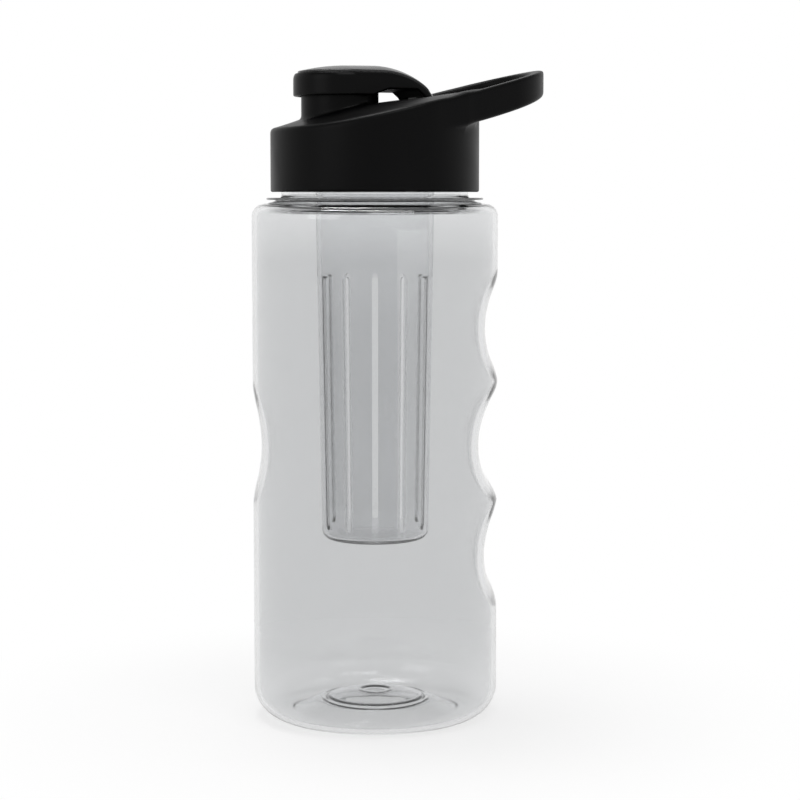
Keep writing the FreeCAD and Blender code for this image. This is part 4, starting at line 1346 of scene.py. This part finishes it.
class SetStage(bpy.types.Operator):
    """Set the floor, the even light, the lamps and the camera"""
    bl_idname = "infuser.set_stage"
    bl_label = "Stage"

    def execute(self, context):
        scene = context.scene
        scene.view_settings.view_transform = "Standard"
        self.add_floor(scene)
        self.add_world(scene)
        for lamp in LAMPS:
            self.add_lamp(scene, *lamp)
        self.add_camera(scene)
        return {"FINISHED"}

    def seen_directly(self, tree):
        """A value that is 1 for what the camera sees, straight, mirrored or through the clear plastic."""
        path = tree.nodes.new("ShaderNodeLightPath")
        seen = path.outputs["Is Camera Ray"]
        for kind in ("Is Glossy Ray", "Is Transmission Ray"):
            larger = tree.nodes.new("ShaderNodeMath")
            larger.operation = "MAXIMUM"
            tree.links.new(seen, larger.inputs[0])
            tree.links.new(path.outputs[kind], larger.inputs[1])
            seen = larger.outputs["Value"]
        return seen

    def add_floor(self, scene):
        """A pale round floor that goes over into white away from the bottle."""
        points, faces = lathe([(radius, FLOOR_HEIGHT) for radius in FLOOR_ROWS], FLOOR_SEGMENTS)
        faces = [face[::-1] for face in faces]
        material, tree, shader, place = new_material("pale_floor")
        shader.inputs["Base Color"].default_value = (*scene.infuser_finishes.floor, 1)
        shader.inputs["Roughness"].default_value = 0.8
        shader.inputs["Specular IOR Level"].default_value = 0.1
        reach = tree.nodes.new("ShaderNodeVectorMath")
        reach.operation = "LENGTH"
        fade = tree.nodes.new("ShaderNodeMapRange")
        fade.interpolation_type = "SMOOTHSTEP"
        fade.inputs["From Min"].default_value = 0.05
        fade.inputs["From Max"].default_value = 0.16
        fade.inputs["To Min"].default_value = 0.75
        both = tree.nodes.new("ShaderNodeMath")
        both.operation = "MULTIPLY"
        white = tree.nodes.new("ShaderNodeEmission")
        mix = tree.nodes.new("ShaderNodeMixShader")
        tree.links.new(place, reach.inputs[0])
        tree.links.new(reach.outputs["Value"], fade.inputs["Value"])
        tree.links.new(fade.outputs["Result"], both.inputs[0])
        tree.links.new(self.seen_directly(tree), both.inputs[1])
        tree.links.new(both.outputs["Value"], mix.inputs["Fac"])
        tree.links.new(shader.outputs["BSDF"], mix.inputs[1])
        tree.links.new(white.outputs["Emission"], mix.inputs[2])
        tree.links.new(mix.outputs["Shader"], tree.nodes["Material Output"].inputs["Surface"])
        new_object("floor", points, faces, material)

    def add_world(self, scene):
        """White where it is seen, an even light of the fill's strength elsewhere, and darker overhead."""
        world = bpy.data.worlds.new("studio")
        scene.world = world
        world.use_nodes = True
        tree = world.node_tree
        back = tree.nodes["Background"]
        back.inputs["Color"].default_value = (1, 1, 1, 1)
        stage = scene.infuser_stage
        level = tree.nodes.new("ShaderNodeMapRange")
        level.inputs["To Min"].default_value = stage.fill
        way = tree.nodes.new("ShaderNodeTexCoord")
        parts = tree.nodes.new("ShaderNodeSeparateXYZ")
        sky = tree.nodes.new("ShaderNodeMapRange")
        sky.interpolation_type = "SMOOTHSTEP"
        sky.inputs["From Min"].default_value = 0.3
        sky.inputs["From Max"].default_value = 0.7
        sky.inputs["To Min"].default_value = 1
        sky.inputs["To Max"].default_value = stage.overhead
        strength = tree.nodes.new("ShaderNodeMath")
        strength.operation = "MULTIPLY"
        tree.links.new(way.outputs["Generated"], parts.inputs["Vector"])
        tree.links.new(parts.outputs["Z"], sky.inputs["Value"])
        tree.links.new(self.seen_directly(tree), level.inputs["Value"])
        tree.links.new(level.outputs["Result"], strength.inputs[0])
        tree.links.new(sky.outputs["Result"], strength.inputs[1])
        tree.links.new(strength.outputs["Value"], back.inputs["Strength"])

    def add_lamp(self, scene, name, place, target, size, power):
        """A soft rectangular lamp turned towards a point, its sizes in metres."""
        lamp = bpy.data.lights.new(name, "AREA")
        lamp.shape = "RECTANGLE"
        lamp.size, lamp.size_y = size
        lamp.energy = power
        item = bpy.data.objects.new(name, lamp)
        item.location = place
        item.rotation_euler = (Vector(target) - Vector(place)).to_track_quat("-Z", "Y").to_euler()
        scene.collection.objects.link(item)

    def add_camera(self, scene):
        """The camera at the photograph's viewing angle."""
        s = scene.infuser_stage
        toward = Vector((math.sin(s.azimuth), -math.cos(s.azimuth), 0))
        right = Vector((math.cos(s.azimuth), math.sin(s.azimuth), 0))
        ahead = right * math.sin(s.yaw) - toward * math.cos(s.yaw)
        ahead = ahead * math.cos(s.pitch) - Vector((0, 0, 1)) * math.sin(s.pitch)
        camera = bpy.data.cameras.new("camera")
        camera.sensor_width = SENSOR_WIDTH
        camera.lens = s.lens
        item = bpy.data.objects.new("camera", camera)
        item.location = toward * s.distance + Vector((0, 0, s.height))
        item.rotation_euler = ahead.to_track_quat("-Z", "Y").to_euler()
        scene.collection.objects.link(item)
        scene.camera = item


OPERATORS = (MakeBottle, MakeLid, MakeCap, MakeSeals, MakeBasket, SetStage)


class InfuserPanel(bpy.types.Panel):
    """The bottle's pieces and the sizes and colours that they are made from"""
    bl_idname = "VIEW3D_PT_infuser_bottle"
    bl_label = "Infuser bottle"
    bl_space_type = "VIEW_3D"
    bl_region_type = "UI"
    bl_category = "Infuser bottle"

    def draw(self, context):
        for operator in OPERATORS:
            self.layout.operator(operator.bl_idname)
        for name in GROUPS:
            box = self.layout.box()
            settings = getattr(context.scene, name)
            for prop in settings.bl_rna.properties:
                if prop.identifier not in ("rna_type", "name"):
                    box.prop(settings, prop.identifier)


def register():
    """Register the settings, the operators and the panel."""
    for name, group in GROUPS.items():
        bpy.utils.register_class(group)
        setattr(bpy.types.Scene, name, PointerProperty(type=group))
    for item in (*OPERATORS, InfuserPanel):
        bpy.utils.register_class(item)


def unregister():
    """Take back all that register added."""
    for item in (InfuserPanel, *reversed(OPERATORS)):
        bpy.utils.unregister_class(item)
    for name, group in reversed(GROUPS.items()):
        delattr(bpy.types.Scene, name)
        bpy.utils.unregister_class(group)


def main():
    """Build every piece and the stage."""
    register()
    for operator in OPERATORS:
        group, name = operator.bl_idname.split(".")
        getattr(getattr(bpy.ops, group), name)()


if __name__ == "__main__":
    main()
